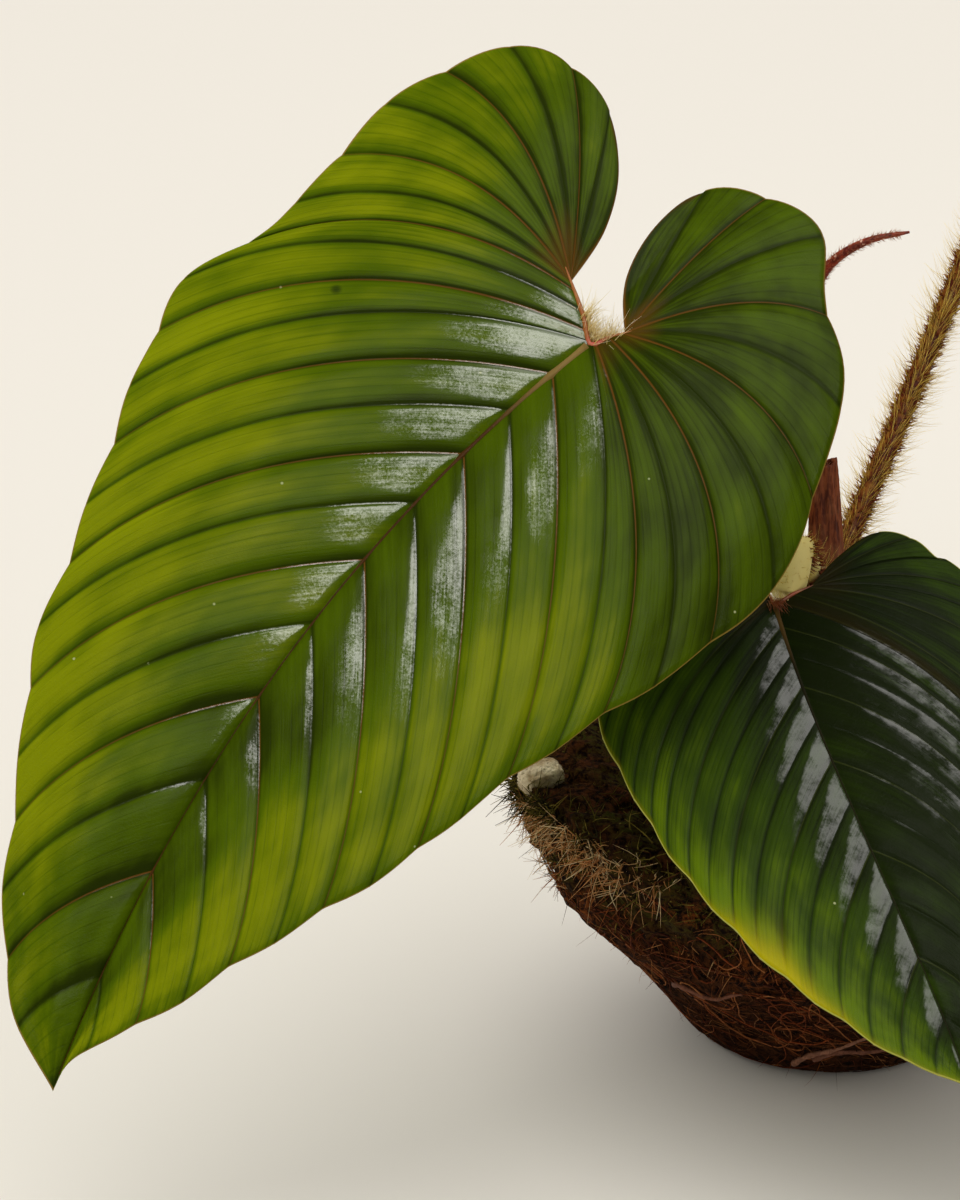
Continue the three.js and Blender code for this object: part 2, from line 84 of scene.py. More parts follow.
# %% Floor and light
floor_mesh = bpy.data.meshes.new("floor")
bm = bmesh.new()
bmesh.ops.create_grid(bm, x_segments=1, y_segments=1, size=6)
bm.to_mesh(floor_mesh)
bm.free()
floor_material = bpy.data.materials.new("pale_floor")
floor_material.use_nodes = True
floor_shader = floor_material.node_tree.nodes["Principled BSDF"]
floor_shader.inputs["Base Color"].default_value = (0.81, 0.79, 0.735, 1)
floor_shader.inputs["Roughness"].default_value = 0.9
floor_mesh.materials.append(floor_material)
floor = bpy.data.objects.new("floor", floor_mesh)
bpy.context.scene.collection.objects.link(floor)


def add_light(kind, name, at, aim, mirrored, **settings):
    """A light that is seen either only in the gloss (mirrored) or only in the plain colour."""
    light = bpy.data.lights.new(name, kind)
    light.color = WARM_WHITE
    for key, value in settings.items():
        setattr(light, key, value)
    lamp = bpy.data.objects.new(name, light)
    lamp.location = at
    lamp.visible_glossy, lamp.visible_diffuse = mirrored, not mirrored
    lamp.rotation_euler = (Vector(aim) - Vector(at)).to_track_quat("-Z", "Y").to_euler()
    bpy.context.scene.collection.objects.link(lamp)


def add_panel(name, subject, direction, power):
    """A round softbox that is seen from its subject in the given direction."""
    at = Vector(subject) + Vector(direction).normalized() * PANEL_DISTANCE
    add_light("AREA", name, at, subject, True, energy=power, shape="DISK", size=PANEL_WIDTH)


WARM_WHITE = (1, 0.97, 0.93)
SKY_WIDTH = math.radians(75)
PANEL_DISTANCE, PANEL_WIDTH = 1.4, 1.25
add_light("SUN", "skylight", (-0.42, 0.1, 0.9), (0, 0, 0), False, energy=2.05, angle=SKY_WIDTH)
add_panel("front_panel", (-0.1, -0.06, 0.17), (0.38, -0.55, 0.74), power=44)
add_panel("back_panel", (0.03, -0.06, 0.1), (0.6, 0.2, 0.77), power=14)
world = bpy.data.worlds.new("sky")
world.use_nodes = True
sky = world.node_tree.nodes["Background"].inputs
sky["Color"].default_value = (1, 0.95, 0.89, 1)
sky["Strength"].default_value = 0.54
world.cycles_visibility.glossy = False
bpy.context.scene.world = world

# %% [markdown]
# ## Shader maths as Python
# A pattern is arithmetic on sockets: a mask is a smooth step of a distance, and a colour is a
# mix of two others by a mask. Writing each Math node by hand hides that, so a small class wraps
# a socket and turns +, -, * and / into nodes. One more class holds a material, and its `node`
# method makes every other node: settings first, then the values or links of its sockets.

# %% Sockets that can be added and multiplied
def by(operation, flipped=False):
    """An operator that adds a Math node."""

    def made(wire, other):
        pair = (other, wire) if flipped else (wire, other)
        return wire.paint.node("ShaderNodeMath", {"operation": operation}, *pair)

    return made


class Wire:
    """A number that varies over the surface: the output of a node."""

    __add__, __radd__ = by("ADD"), by("ADD", flipped=True)
    __sub__, __rsub__ = by("SUBTRACT"), by("SUBTRACT", flipped=True)
    __mul__, __rmul__ = by("MULTIPLY"), by("MULTIPLY", flipped=True)
    __truediv__ = by("DIVIDE")

    def __init__(self, paint, socket):
        self.paint = paint
        self.socket = socket

    def fraction(self):
        return self.paint.node("ShaderNodeMath", {"operation": "FRACT"}, self)

    def absolute(self):
        return self.paint.node("ShaderNodeMath", {"operation": "ABSOLUTE"}, self)

    def step(self, low, high):
        """0 below low, 1 above high, smooth between. With low above high it falls."""
        if low > high:
            return 1 - self.step(high, low)
        settings = {"interpolation_type": "SMOOTHSTEP"}
        return self.paint.node("ShaderNodeMapRange", settings, self, low, high, 0.0, 1.0)


print("what a wire can do:", [key for key in vars(Wire) if callable(vars(Wire)[key])])


# %% A material in the making
class Paint:
    """A material under construction, with its Principled shader."""

    def __init__(self, name, roughness=0.5, **constants):
        self.material = bpy.data.materials.new(name)
        self.material.use_nodes = True
        self.tree = self.material.node_tree
        self.shader = self.tree.nodes["Principled BSDF"]
        self.shader.inputs["Roughness"].default_value = roughness
        for socket, value in constants.items():
            self.shader.inputs[socket.replace("_", " ")].default_value = value

    def node(self, kind, settings, *values, output=0, **named):
        """Sockets are filled by number, where None skips one, or by name."""
        made = self.tree.nodes.new(kind)
        for key, value in settings.items():
            if key == "stops":
                self.fill_ramp(made.color_ramp, value)
            else:
                setattr(made, key, value)
        for key, value in [*enumerate(values), *named.items()]:
            if value is not None:
                self.join(value, made.inputs[key])
        return Wire(self, made.outputs[output])

    def join(self, value, socket):
        if isinstance(value, Wire):
            self.tree.links.new(value.socket, socket)
        else:
            socket.default_value = (*rgb(value), 1) if isinstance(value, str) else value

    @staticmethod
    def fill_ramp(ramp, stops):
        while len(ramp.elements) < len(stops):
            ramp.elements.new(0.5)
        for element, (place, color) in zip(ramp.elements, stops):
            element.position = place
            element.color = (*rgb(color), 1)

    def attribute(self, name):
        return self.node("ShaderNodeAttribute", {"attribute_name": name}, output="Fac")

    def place(self):
        return self.node("ShaderNodeTexCoord", {}, output="Object")

    def noise(self, place, scale, detail=2.0, roughness=0.5):
        return self.node(
            "ShaderNodeTexNoise", {}, Vector=place, Scale=scale, Detail=detail, Roughness=roughness
        )

    def vector(self, x, y, z):
        return self.node("ShaderNodeCombineXYZ", {}, x, y, z)

    def mix(self, mask, first, second):
        """The first colour where the mask is 0, the second where it is 1."""
        kind = {"data_type": "RGBA"}
        return self.node("ShaderNodeMix", kind, mask, *[None] * 5, first, second, output=2)

    def bump(self, height, distance, strength):
        return self.node("ShaderNodeBump", {}, Strength=strength, Distance=distance, Height=height)

    def finish(self, **links):
        for socket, value in links.items():
            self.join(value, self.shader.inputs[socket.replace("_", " ")])
        return self.material


def rgb(code):
    """A colour in the shader's linear numbers, from the usual six hexadecimal digits."""
    parts = [int(code[i : i + 2], 16) / 255 for i in (0, 2, 4)]
    return tuple(p / 12.92 if p <= 0.04045 else ((p + 0.055) / 1.055) ** 2.4 for p in parts)


print("leaf green", [round(v, 3) for v in rgb("4a6b12")])

# %% [markdown]
# ## Strands
# Petioles, ribs, bristles, rootlets and moss are all round strands. One closed rod is made by
# rolling up a grid, and every strand is a copy of it with its points moved onto a bent line. A
# strand carries a `tone` from 0 to 1, so that neighbours in a tuft differ in colour, and `run`,
# which goes from 0 at its foot to 1 at its tip.

# %% A rod, and copies of it on bent lines
def close_skin(bm):
    """Normals that point outwards, and smooth shading."""
    bmesh.ops.recalc_face_normals(bm, faces=bm.faces[:])
    for face in bm.faces:
        face.smooth = True


def new_strands():
    bm = bmesh.new()
    for name in ("tone", "run"):
        bm.verts.layers.float.new(name)
    return bm


def unit_rod(rings, sides):
    """A closed rod: x counts its rings, and y and z lie on a circle of radius 1."""
    bm = new_strands()
    made = bmesh.ops.create_grid(bm, x_segments=rings + 1, y_segments=sides, size=0.5)["verts"]
    cells = [((v.co.x + 0.5) * (rings + 1), (v.co.y + 0.5) * math.tau) for v in made]
    for v, (place, turn) in zip(made, cells):
        place = round(place)
        reach = 0 if place in (0, rings + 1) else 1
        v.co = (min(max(place - 1, 0), rings - 1), reach * math.cos(turn), reach * math.sin(turn))
    bmesh.ops.remove_doubles(bm, verts=bm.verts[:], dist=1e-4)
    close_skin(bm)
    mesh = bpy.data.meshes.new(f"rod_{rings}_{sides}")
    bm.to_mesh(mesh)
    bm.free()
    return mesh


def frames_along(lines):
    """Two directions square to each line at each of its points, without sudden turns."""
    tangents = np.gradient(lines, axis=1)
    tangents /= np.maximum(np.linalg.norm(tangents, axis=2, keepdims=True), 1e-9)
    first = np.zeros_like(lines)
    start = np.cross(tangents[:, 0], np.array((0.31, 0.12, 0.94)))
    first[:, 0] = start / np.linalg.norm(start, axis=1, keepdims=True)
    for k in range(1, lines.shape[1]):
        t, before = tangents[:, k], first[:, k - 1]
        side = before - t * (before * t).sum(axis=1, keepdims=True)
        first[:, k] = side / np.maximum(np.linalg.norm(side, axis=1, keepdims=True), 1e-9)
    return first, np.cross(tangents, first)


def strands(bm, lines, radii, sides=3, tones=None):
    """Rods on bent lines, in mm: lines is (count, rings, 3), and radii (count, rings)."""
    lines = np.asarray(lines, float)
    count, rings = lines.shape[:2]
    radii = np.broadcast_to(np.asarray(radii, float), (count, rings))
    tones = np.zeros(count) if tones is None else tones
    mesh = unit_rod(rings, sides)
    rest = np.empty(len(mesh.vertices) * 3)
    mesh.vertices.foreach_get("co", rest)
    ring, across, up = rest.reshape(-1, 3).T
    ring = np.rint(ring).astype(int)
    first, second = frames_along(lines)
    out = first[:, ring] * across[:, None] + second[:, ring] * up[:, None]
    points = (lines[:, ring] + out * radii[:, ring, None]) * MM
    mesh.attributes["run"].data.foreach_set("value", ring / (rings - 1))
    for co, tone in zip(points, tones):
        mesh.vertices.foreach_set("co", co.ravel())
        mesh.attributes["tone"].data.foreach_set("value", np.full(len(co), tone))
        bm.from_mesh(mesh)
    bpy.data.meshes.remove(mesh)


test_line = np.array([[[0, 0, 0], [1, 0, 0], [2, 0, 1]]], float)
print("first direction across a test line:", frames_along(test_line)[0][0, 0])

# %% [markdown]
# ## The form of a blade
# A philodendron blade is a heart-shaped sheet, pleated between side veins that leave the midrib,
# or the notch, and sweep towards the tip. So each half is a fan: one number counts the side
# veins, `vein`, and the other, `r`, runs along a vein from the rib to the margin. The solids were
# made by the same rule, which is why the fine blade lands on them.

# %% Constants of the fan
PANELS = 22  # panels in one half, counted from the notch to the tip
BASAL = 11  # side veins before this one leave the notch, and the others leave the midrib
GATHERED = (7, 5)  # left and right: the side veins that leave the very corner of the notch
FIRST_VEIN = 0.125  # share of the margin before the first side vein
FIRST_SPACING = 0.6  # the first step along the midrib, as a share of an even one
VEIN_REACH = 0.65  # where a vein's bend lies, as a share of its length
LOBE_SWING = 23  # degrees by which a vein of a lobe leaves wider than straight to its end
PLEAT_HEIGHT = 0.058  # share of the distance between veins
PLEAT_RUN_IN = 1.2  # mm from the rib over which a pleat rises
PLEAT_FADE = 0.15  # share of its height that a pleat has lost at the margin
GROOVE_DEPTH, GROOVE_WIDTH = 0.22, 0.9  # the crease along a vein, mm
EDGE_WAVE = 0.007  # share of the length
BACK_SCALE = 0.8596  # the back blade against the front one, whose outline it mirrors

large_left = [
    (-10, -14), (-29, -15), (-46, -22), (-60, -36), (-65, -55), (-57, -70), (-36, -83),
    (-8, -88), (20, -89), (48, -100), (78, -94), (104, -86), (130, -78), (157, -70),
    (187, -53), (213, -38), (234, -20), (244, 0),
]
large_right = [
    (-7, 6), (-22, -3), (-41, -4.5), (-57, 1), (-65, 17), (-63, 33), (-49, 44), (-33, 60),
    (-10, 70), (15, 77), (41, 76), (71, 66), (97, 56), (123, 47), (150, 39), (187, 23),
    (215, 11), (234, 0), (244, 0),
]
small_left = [
    (-4, -5), (-12, -12), (-14, -26), (-8, -42), (5, -55), (18, -62), (36, -64), (57, -61),
    (75, -57), (96, -49), (117, -37), (139, -18), (150, 0),
]
small_right = [
    (-2, 7), (-10, 18), (-16, 31), (-13, 42), (-5, 46), (-4, 49), (3, 54), (16, 62),
    (32, 67), (50, 68), (70, 64), (90, 56), (110, 44), (128, 28), (142, 12), (150, 0),
]


def smoothstep(x, low, high):
    t = np.clip((np.asarray(x, float) - low) / (high - low), 0, 1)
    return t * t * (3 - 2 * t)


print("points in the large outline:", len(large_left) + len(large_right))


# %% Outlines as smooth lines, measured along their length
def smooth_line(points, steps=40):
    """Points close together on a smooth line through the given ones."""
    known = np.array(points, float)
    padded = np.vstack([known[:1], known, known[-1:]])
    t = (np.arange(steps) / steps)[:, None]
    out = []
    for p0, p1, p2, p3 in zip(padded, padded[1:], padded[2:], padded[3:]):
        v0, v1 = (p2 - p0) / 2, (p3 - p1) / 2
        cubic, square = 2 * p1 - 2 * p2 + v0 + v1, 3 * p2 - 3 * p1 - 2 * v0 - v1
        out.append(cubic * t**3 + square * t**2 + v0 * t + p1)
    return np.vstack([*out, known[-1:]])


def along(line, share):
    """Points at shares of a line's length."""
    lengths = np.concatenate([[0], np.cumsum(np.linalg.norm(np.diff(line, axis=0), axis=1))])
    at = np.clip(share, 0, 1) * lengths[-1]
    return np.stack([np.interp(at, lengths, line[:, k]) for k in range(line.shape[1])], axis=-1)


print("half way along the large left margin, mm:", along(smooth_line(large_left), 0.5).round(1))


# %% Cross-sections of the pleats
def bulge(vein):
    return np.abs(np.sin(np.pi * vein / 2))


def small_bulge(vein):
    return np.abs(np.sin(np.pi * vein))


def flatter(arch):
    """The same arch, steeper at its feet and flatter on top."""
    return 1 - (1 - arch) ** 3


plain = small_bulge(0.25)
print("height at a quarter of a pleat:", plain.round(3), "and flatter:", flatter(plain).round(3))


# %% A blade's plan and height
@dataclass
class Blade:
    """One blade. Pairs hold a value for its left half and one for its right half."""

    at: tuple  # the notch, mm
    facing: float  # degrees, as are tilt and roll
    tilt: float
    roll: float
    length: float  # from the notch to the tip, mm
    bow: float  # how far the midrib curves sideways, mm
    droop: float  # how far the tip hangs down, mm
    lobe_drop: float  # how far the lobes hang down, mm
    cup: float  # how steeply the halves rise beside the midrib
    arch: float  # how soon they turn down again
    left: list  # outlines, from the notch to the tip
    right: list
    swing: tuple  # degrees by which the other veins leave wider than straight to their ends
    sweep: tuple  # below 1 the veins end nearer the tip
    shine: tuple  # the tables of the wax
    lead: float = 0  # how far aside the midrib starts, mm
    skew: float = 1  # above 1 the bow lies nearer the notch
    # painted_lit_half: the half painted lighter, partly a riper green and partly painted light; the
    # other half is painted darker, partly painted shade
    painted_lit_half: int = -1  # the half that has ripened in the sun, or 0
    relief: float = 1  # height of the pleats
    yellow: float = 0  # how strong the yellow margin is

    def __post_init__(self):
        self.corner = [np.array(outline[0], float) for outline in (self.left, self.right)]
        self.margin = [smooth_line(outline) for outline in (self.left, self.right)]
        turn, rise, lean = (math.radians(v) for v in (self.facing, self.tilt, self.roll))
        self.n = np.array(
            (math.sin(turn) * math.cos(rise), -math.cos(turn) * math.cos(rise), math.sin(rise))
        )
        level = np.array((math.cos(turn), math.sin(turn), 0))
        self.a = math.cos(lean) * np.cross(level, self.n) - math.sin(lean) * level
        self.b = np.cross(self.n, self.a)

    def midrib_y(self, x):
        t = np.clip(x / self.length, 0, 1)
        return self.lead * (1 - t) + self.bow * 4 * t * (1 - t) ** self.skew

    def height(self, x, y):
        t = x / self.length
        droop = np.where(t > 0, self.droop, self.lobe_drop) * t * t
        width = np.abs(y - self.midrib_y(x))
        return self.cup * width - self.arch * width**2 - droop

    def foot(self, side, vein):
        off = (1 - smoothstep(vein, GATHERED[side > 0], BASAL))[:, None]
        near = self.corner[side > 0] * off + np.array((0, self.lead)) * (1 - off)
        share = np.clip((vein - BASAL) / (PANELS - BASAL), 0, 1)
        x = self.length * share * (FIRST_SPACING + (1 - FIRST_SPACING) * share)
        far = np.stack([x, self.midrib_y(x)], axis=-1)
        return np.where((vein < BASAL)[:, None], near, far)

    def plan(self, side, vein, r):
        """Plan points at side vein numbers `vein` and shares `r` of the way to the margin."""
        first = vein < 1
        v = np.maximum(vein, 1)
        foot = self.foot(side, v)
        share = (v - 1) / (PANELS - 1)
        share = share + (share ** self.sweep[side > 0] - share) * smoothstep(v, 2, 9)
        end = along(self.margin[side > 0], FIRST_VEIN + (1 - FIRST_VEIN) * share)
        out = end - foot
        still = smoothstep(PANELS - v, 0, 3)
        wave = EDGE_WAVE * self.length * (bulge(v) - 0.65) * still
        reach = np.maximum(np.linalg.norm(out, axis=1), 1e-6)
        end = end + out * (wave / reach)[:, None]
        degrees = LOBE_SWING + (self.swing[side > 0] - LOBE_SWING) * smoothstep(v, 7, 13)
        swing = side * np.radians(degrees) * smoothstep(v, 0, 6)
        dx, dy = (end - foot).T
        turned = np.stack(
            [dx * np.cos(swing) - dy * np.sin(swing), dx * np.sin(swing) + dy * np.cos(swing)], axis=-1
        )
        bend = foot + VEIN_REACH * turned
        q = r[:, None]
        found = foot * (1 - q) ** 2 + bend * 2 * q * (1 - q) + end * q**2
        edge = along(self.margin[side > 0], r * FIRST_VEIN)
        return np.where(first[:, None], edge + (found - edge) * vein[:, None], found)

    def run(self, side, vein, r):
        """How far a place is from the foot of its vein, mm."""
        return np.linalg.norm(self.plan(side, vein, r) - self.foot(side, vein), axis=1)

    def gap(self, side, vein, r):
        """Distance between side veins at a place, mm."""
        before = self.plan(side, np.maximum(vein - 0.5, 0), r)
        after = self.plan(side, np.minimum(vein + 0.5, PANELS), r)
        return np.linalg.norm(after - before, axis=1)

    def pleat(self, side, vein, r):
        profile = 0.5 * flatter(bulge(vein)) + 0.5 * flatter(small_bulge(vein))
        profile += 0.35 * np.sin(2.1 * vein + 4 * r + side) * np.sin(9 * r - 1.3 * vein) * bulge(vein)
        run = self.run(side, vein, r)
        fade = (1 - np.exp(-run / PLEAT_RUN_IN)) * (1 - PLEAT_FADE * r * r)
        gap = self.gap(side, vein, r)
        groove = GROOVE_DEPTH * np.exp(-np.abs(vein - np.rint(vein)) * gap / GROOVE_WIDTH)
        groove = groove * smoothstep(run, 0, 6) * (1 - r)
        return self.relief * PLEAT_HEIGHT * gap * profile * fade - groove

    def world(self, x, y, z):
        """Points in millimetres in the row's frame."""
        return self.at + np.outer(x, self.a) + np.outer(y, self.b) + np.outer(z, self.n)


print("numbers that shape a blade:", len(Blade.__dataclass_fields__))

# %% [markdown]
# ## Where a blade shines, how ripe it is, and where light and shade are painted
# Wax shines most beside the midrib, along the slopes that face the light, and the lobes are dull.
# The half that faces the light is painted a yellower green, partly its own riper colour and partly
# painted light: the lit side and the glow of light through the blade. The other half is painted
# darker, partly painted shade, and each panel is painted darker beside its crease, which is painted
# shade. The margin of the small blade has begun to turn. A painted picture could say all this, but it
# would need its own map of the blade.
# The points of the fan already know their vein and their distance from the rib, so rules in those
# two numbers say it, and the points carry the results to the material.

# %% Shine, yellow margin, ripeness, and painted light and shade
YELLOW_VEIN, YELLOW_SPREAD = 15.8, 2.2  # the side vein by which most has turned, and how far

# Each half's shine is three rows over the side veins numbered here: how far it reaches from the
# rib and where it starts, in mm, and how strong it is. The last value says whether it lies on the
# side of each panel that is nearer the notch.
SHINE_VEINS = (7, 9, 10, 11, 12, 13, 14, 15, 16, 17, 18, 19, 20, 22)
front_left = (
    (0, 14, 30, 46, 44, 42, 38, 30, 22, 17, 12, 6, 3, 0), (1,) * 14,
    (0, 1, 1.3, 1.3, 1.05, 0.9, 0.85, 0.8, 0.75, 0.7, 0.6, 0.4, 0.2, 0), True,
)
front_right = (
    (0, 0, 30, 50, 62, 64, 74, 72, 60, 44, 34, 24, 14, 0),
    (6, 6, 8, 10, 12, 11, 11, 12, 12, 11, 9, 7, 5, 4),
    (0, 0, 0.3, 0.5, 0.7, 0.95, 1, 0.95, 0.85, 0.7, 0.6, 0.45, 0.3, 0), True,
)
small_left_shine = (
    (0, 0, 0, 12, 20, 26, 30, 34, 36, 34, 30, 25, 18, 0), (0.5,) * 14,
    (0, 0, 0, 0.5, 0.75, 0.85, 1, 1, 1, 1, 1, 1, 0.9, 0.5), False,
)
small_right_shine = (
    (0, 30, 60, 80, 90, 90, 85, 80, 70, 60, 50, 40, 30, 0),
    (20, 22, 22, 20, 18, 18, 20, 24, 28, 30, 30, 30, 30, 30),
    (0, 0.2, 0.6, 0.95, 1, 1, 0.9, 0.75, 0.5, 0.35, 0.2, 0.1, 0, 0), True,
)


def gloss(blade, side, vein, r):
    """How much the wax shines, 0 to 1: most beside the midrib, least on the lobes."""
    run = blade.run(side, vein, r)
    part = vein - np.floor(vein)
    *tables, near_side = blade.shine[side > 0]
    reach, start, strength = (np.interp(vein, SHINE_VEINS, table) for table in tables)
    shown = smoothstep(run, start * 0.6, start * 1.2 + 0.5)
    shown = shown * (1 - smoothstep(run, reach * 0.2, reach * 1.1 + 0.01))
    if near_side:
        wide = 0.78 - 0.4 * run / np.maximum(reach, 1)
        panel = 1 - smoothstep(part, wide, wide + 0.25)
        panel = panel * (1 - 0.35 * smoothstep(part, 0.05, 0.35))
        line = 1 - smoothstep(part, 0.02, 0.1)
        line = line * smoothstep(run, 2, 5) * (1 - smoothstep(run, 12, 34))
    else:
        panel = smoothstep(part - 0.6 * run / np.maximum(reach, 1), 0.1, 0.3)
        line = 0
    return 0.05 + 0.95 * np.maximum(shown * panel, line * (reach > 1)) * strength


def glow(blade, side, vein, r):
    """How yellow the margin is, 0 to 1, on the half that has turned."""
    if side > 0:
        return 0 * r
    inward = (1 - r) * blade.run(side, vein, r * 0 + 1)
    patch = np.exp(-(((vein - YELLOW_VEIN) / YELLOW_SPREAD) ** 2))
    return blade.yellow * np.exp(-inward / (1.8 + 7.5 * patch)) * (0.4 + 0.65 * patch)


def ripeness_and_painted_light(blade, side, vein, r):
    """How far the green is painted from deep to yellowish, 0 to 1: ripeness, with painted light on the
    half that faces the light and painted shade by the creases.
    """
    # The half that faces the light is painted lighter and yellower towards its margin, and the other
    # half darker: partly the greens of a riper half, partly painted light and shade.
    if side == blade.painted_lit_half:
        part = vein - np.floor(vein)
        # Painted shade: each panel is darker in the strip just above the next crease, where its slope
        # turns away from the light.
        painted_valley_shade = 0.3 * smoothstep(part, 0.74, 0.97)
        late = 0.12 * smoothstep(vein, 11, 16)
        outer = 0.32 * smoothstep(r, 0.1, 0.8) * (1 - 0.4 * smoothstep(vein, 15, 20))
        green = 0.4 + late + outer
        tip = 0.2 * smoothstep(vein, 17.5, 20.5)
        return green * (0.6 + 0.4 * smoothstep(vein, 1.5, 6)) - painted_valley_shade - tip
    late = smoothstep(vein, 8, 13)
    if blade.painted_lit_half:
        outer = 0.14 + 0.44 * smoothstep(r, 0.2, 0.6) * (1 - 0.5 * smoothstep(r, 0.8, 1))
        return 0.16 + 0.12 * (1 - late) * smoothstep(r, 0.2, 0.7) + late * outer
    if side > 0:
        return 0.08 + 0.22 * smoothstep(r, 0.25, 0.7)
    return 0.18 + 0.34 * smoothstep(r, 0.15, 0.5) + 0.35 * late * smoothstep(r, 0.6, 0.95)


print("veins with a row of shine:", len(SHINE_VEINS))


# %% The three blades
def mirrored(points):
    return [(x * BACK_SCALE, -y * BACK_SCALE) for x, y in points]


blades = {
    "front": Blade(
        at=(-62.8, -27.6, 216.7), facing=8, tilt=38, roll=39, length=244, bow=-16, droop=20,
        lobe_drop=22, cup=0.28, arch=0.004, left=large_left, right=large_right, swing=(16, 8),
        sweep=(0.95, 0.73), shine=(front_left, front_right),
    ),
    "right": Blade(
        at=(-7.5, -27.9, 142.6), facing=10, tilt=58, roll=-7.3, length=150, bow=-4.9, droop=14,
        lobe_drop=10, cup=0.22, arch=0.004, left=small_left, right=small_right, swing=(14, 34),
        sweep=(0.92, 0.42), shine=(small_left_shine, small_right_shine), lead=-4.2, skew=2,
        painted_lit_half=0, relief=0.4, yellow=1,
    ),
    "back": Blade(
        at=(116, 182, 254), facing=68, tilt=42, roll=-8, length=244 * BACK_SCALE, bow=12, droop=24,
        lobe_drop=18, cup=0.26, arch=0.0042, left=mirrored(large_right), right=mirrored(large_left),
        swing=(8, 16), sweep=(0.73, 0.95), shine=(front_right, front_left),
    ),
}
front = blades["front"]
print("tip of the front blade, mm:", front.world([244], [0], front.height(244, 0)).round(1))

# %% [markdown]
# ## The fine blade
# A leaf is thin but not a sheet of paper: it has two faces, ribs that stand out below, and an
# edge. The sheet starts as a grid for each half, whose rows are moved onto the fan, close
# together by the veins where the crease turns sharply. Extruding the whole sheet gives the lower
# face with its walls, and that face is then pushed down, further under each vein.

# %% One half of a blade
ROW_STEPS = (0, 0.03, 0.08, 0.17, 0.28, 0.39, 0.5, 0.61, 0.72, 0.83, 0.92, 0.97)
COLUMNS = 36
LEAF_THICKNESS = 0.55
VEIN_RIB = 0.9
ROWS = PANELS * len(ROW_STEPS)
LEAF_LAYERS = (
    "gap", "edge", "ripe", "rib", "under", "thick", "ridge", "run", "tone", "gloss", "glow",
)


def half_sheet(bm, blade, side):
    """One half of the blade as a grid of faces, with its measures kept on the points."""
    layers = {name: bm.verts.layers.float.get(name) for name in LEAF_LAYERS}
    uv = bm.loops.layers.uv["UVMap"]
    made = bmesh.ops.create_grid(bm, x_segments=ROWS, y_segments=COLUMNS, size=0.5)["verts"]
    places = np.array([v.co[:2] for v in made]) + 0.5
    row = np.rint(places[:, 0] * ROWS).astype(int)
    vein = row // len(ROW_STEPS) + np.array(ROW_STEPS)[row % len(ROW_STEPS)]
    r = places[:, 1] ** 1.35
    x, y = blade.plan(side, vein, r).T
    lift = blade.pleat(side, vein, r)
    points = blade.world(x, y, blade.height(x, y) + lift) * MM
    gap = blade.gap(side, vein, r)
    off = np.abs(vein - np.rint(vein)) * gap
    strong = np.rint(vein) % 2 == 0
    reach = np.where(strong, 1.5, 1.0) * (1 - 0.72 * r)
    measures = {
        "gap": gap,
        "edge": (1 - r) * blade.run(side, vein, r * 0 + 1),
        "ridge": VEIN_RIB * np.where(strong, 1, 0.6) * (1 - 0.75 * r) * np.exp(-((off / reach) ** 2)),
        "thick": LEAF_THICKNESS * (1 - 0.45 * smoothstep(r, 0.9, 1)),
        "ripe": ripeness_and_painted_light(blade, side, vein, r),
        "gloss": gloss(blade, side, vein, r),
        "glow": glow(blade, side, vein, r),
    }
    for k, v in enumerate(made):
        v.co = points[k]
        for name, values in measures.items():
            v[layers[name]] = values[k]
    place = {v: (vein[k], r[k]) for k, v in enumerate(made)}
    for face in {f for v in made for f in v.link_faces}:
        for loop in face.loops:
            loop[uv].uv = place[loop.vert]


print("faces in one half:", ROWS * COLUMNS)


# %% A whole blade
MIDRIB_RADIUS = 1.6
MIDRIB_TIP_RADIUS = 0.42


def sheet_of(blade):
    """Both halves, sewn along the midrib, as one sheet that faces up."""
    bm = bmesh.new()
    bm.loops.layers.uv.new("UVMap")
    for layer in LEAF_LAYERS:
        bm.verts.layers.float.new(layer)
    for side in (-1, 1):
        half_sheet(bm, blade, side)
    bmesh.ops.remove_doubles(bm, verts=bm.verts[:], dist=0.004 * MM)
    bmesh.ops.recalc_face_normals(bm, faces=bm.faces[:])
    if sum((f.normal for f in bm.faces), Vector()).dot(Vector(blade.n)) < 0:
        bmesh.ops.reverse_faces(bm, faces=bm.faces[:])
    return bm


def give_thickness(bm, blade):
    """A lower face and a wall round the margin, with the ribs standing out below."""
    layer = bm.verts.layers.float
    grown = bmesh.ops.extrude_face_region(bm, geom=bm.faces[:], use_keep_orig=True)["geom"]
    down = Vector(blade.n) * -MM
    for v in (g for g in grown if isinstance(g, bmesh.types.BMVert)):
        v.co += down * (v[layer["thick"]] + v[layer["ridge"]])
        v[layer["under"]] = 1
    close_skin(bm)


def add_midrib(bm, blade):
    """The midrib, sunk in the crease above and standing out below, thinner towards the tip."""
    share = np.linspace(0, 1, 60)
    x = blade.length * (0.008 + 0.975 * share)
    y = blade.midrib_y(x)
    radius = MIDRIB_TIP_RADIUS + (MIDRIB_RADIUS - MIDRIB_TIP_RADIUS) * (1 - share) ** 4
    radius *= blade.length / large_left[-1][0]
    line = blade.world(x, y, blade.height(x, y) - 0.4 * radius)
    before = set(bm.verts)
    strands(bm, [line], [radius], sides=12)
    rib = bm.verts.layers.float["rib"]
    for v in bm.verts:
        if v not in before:
            v[rib] = 1


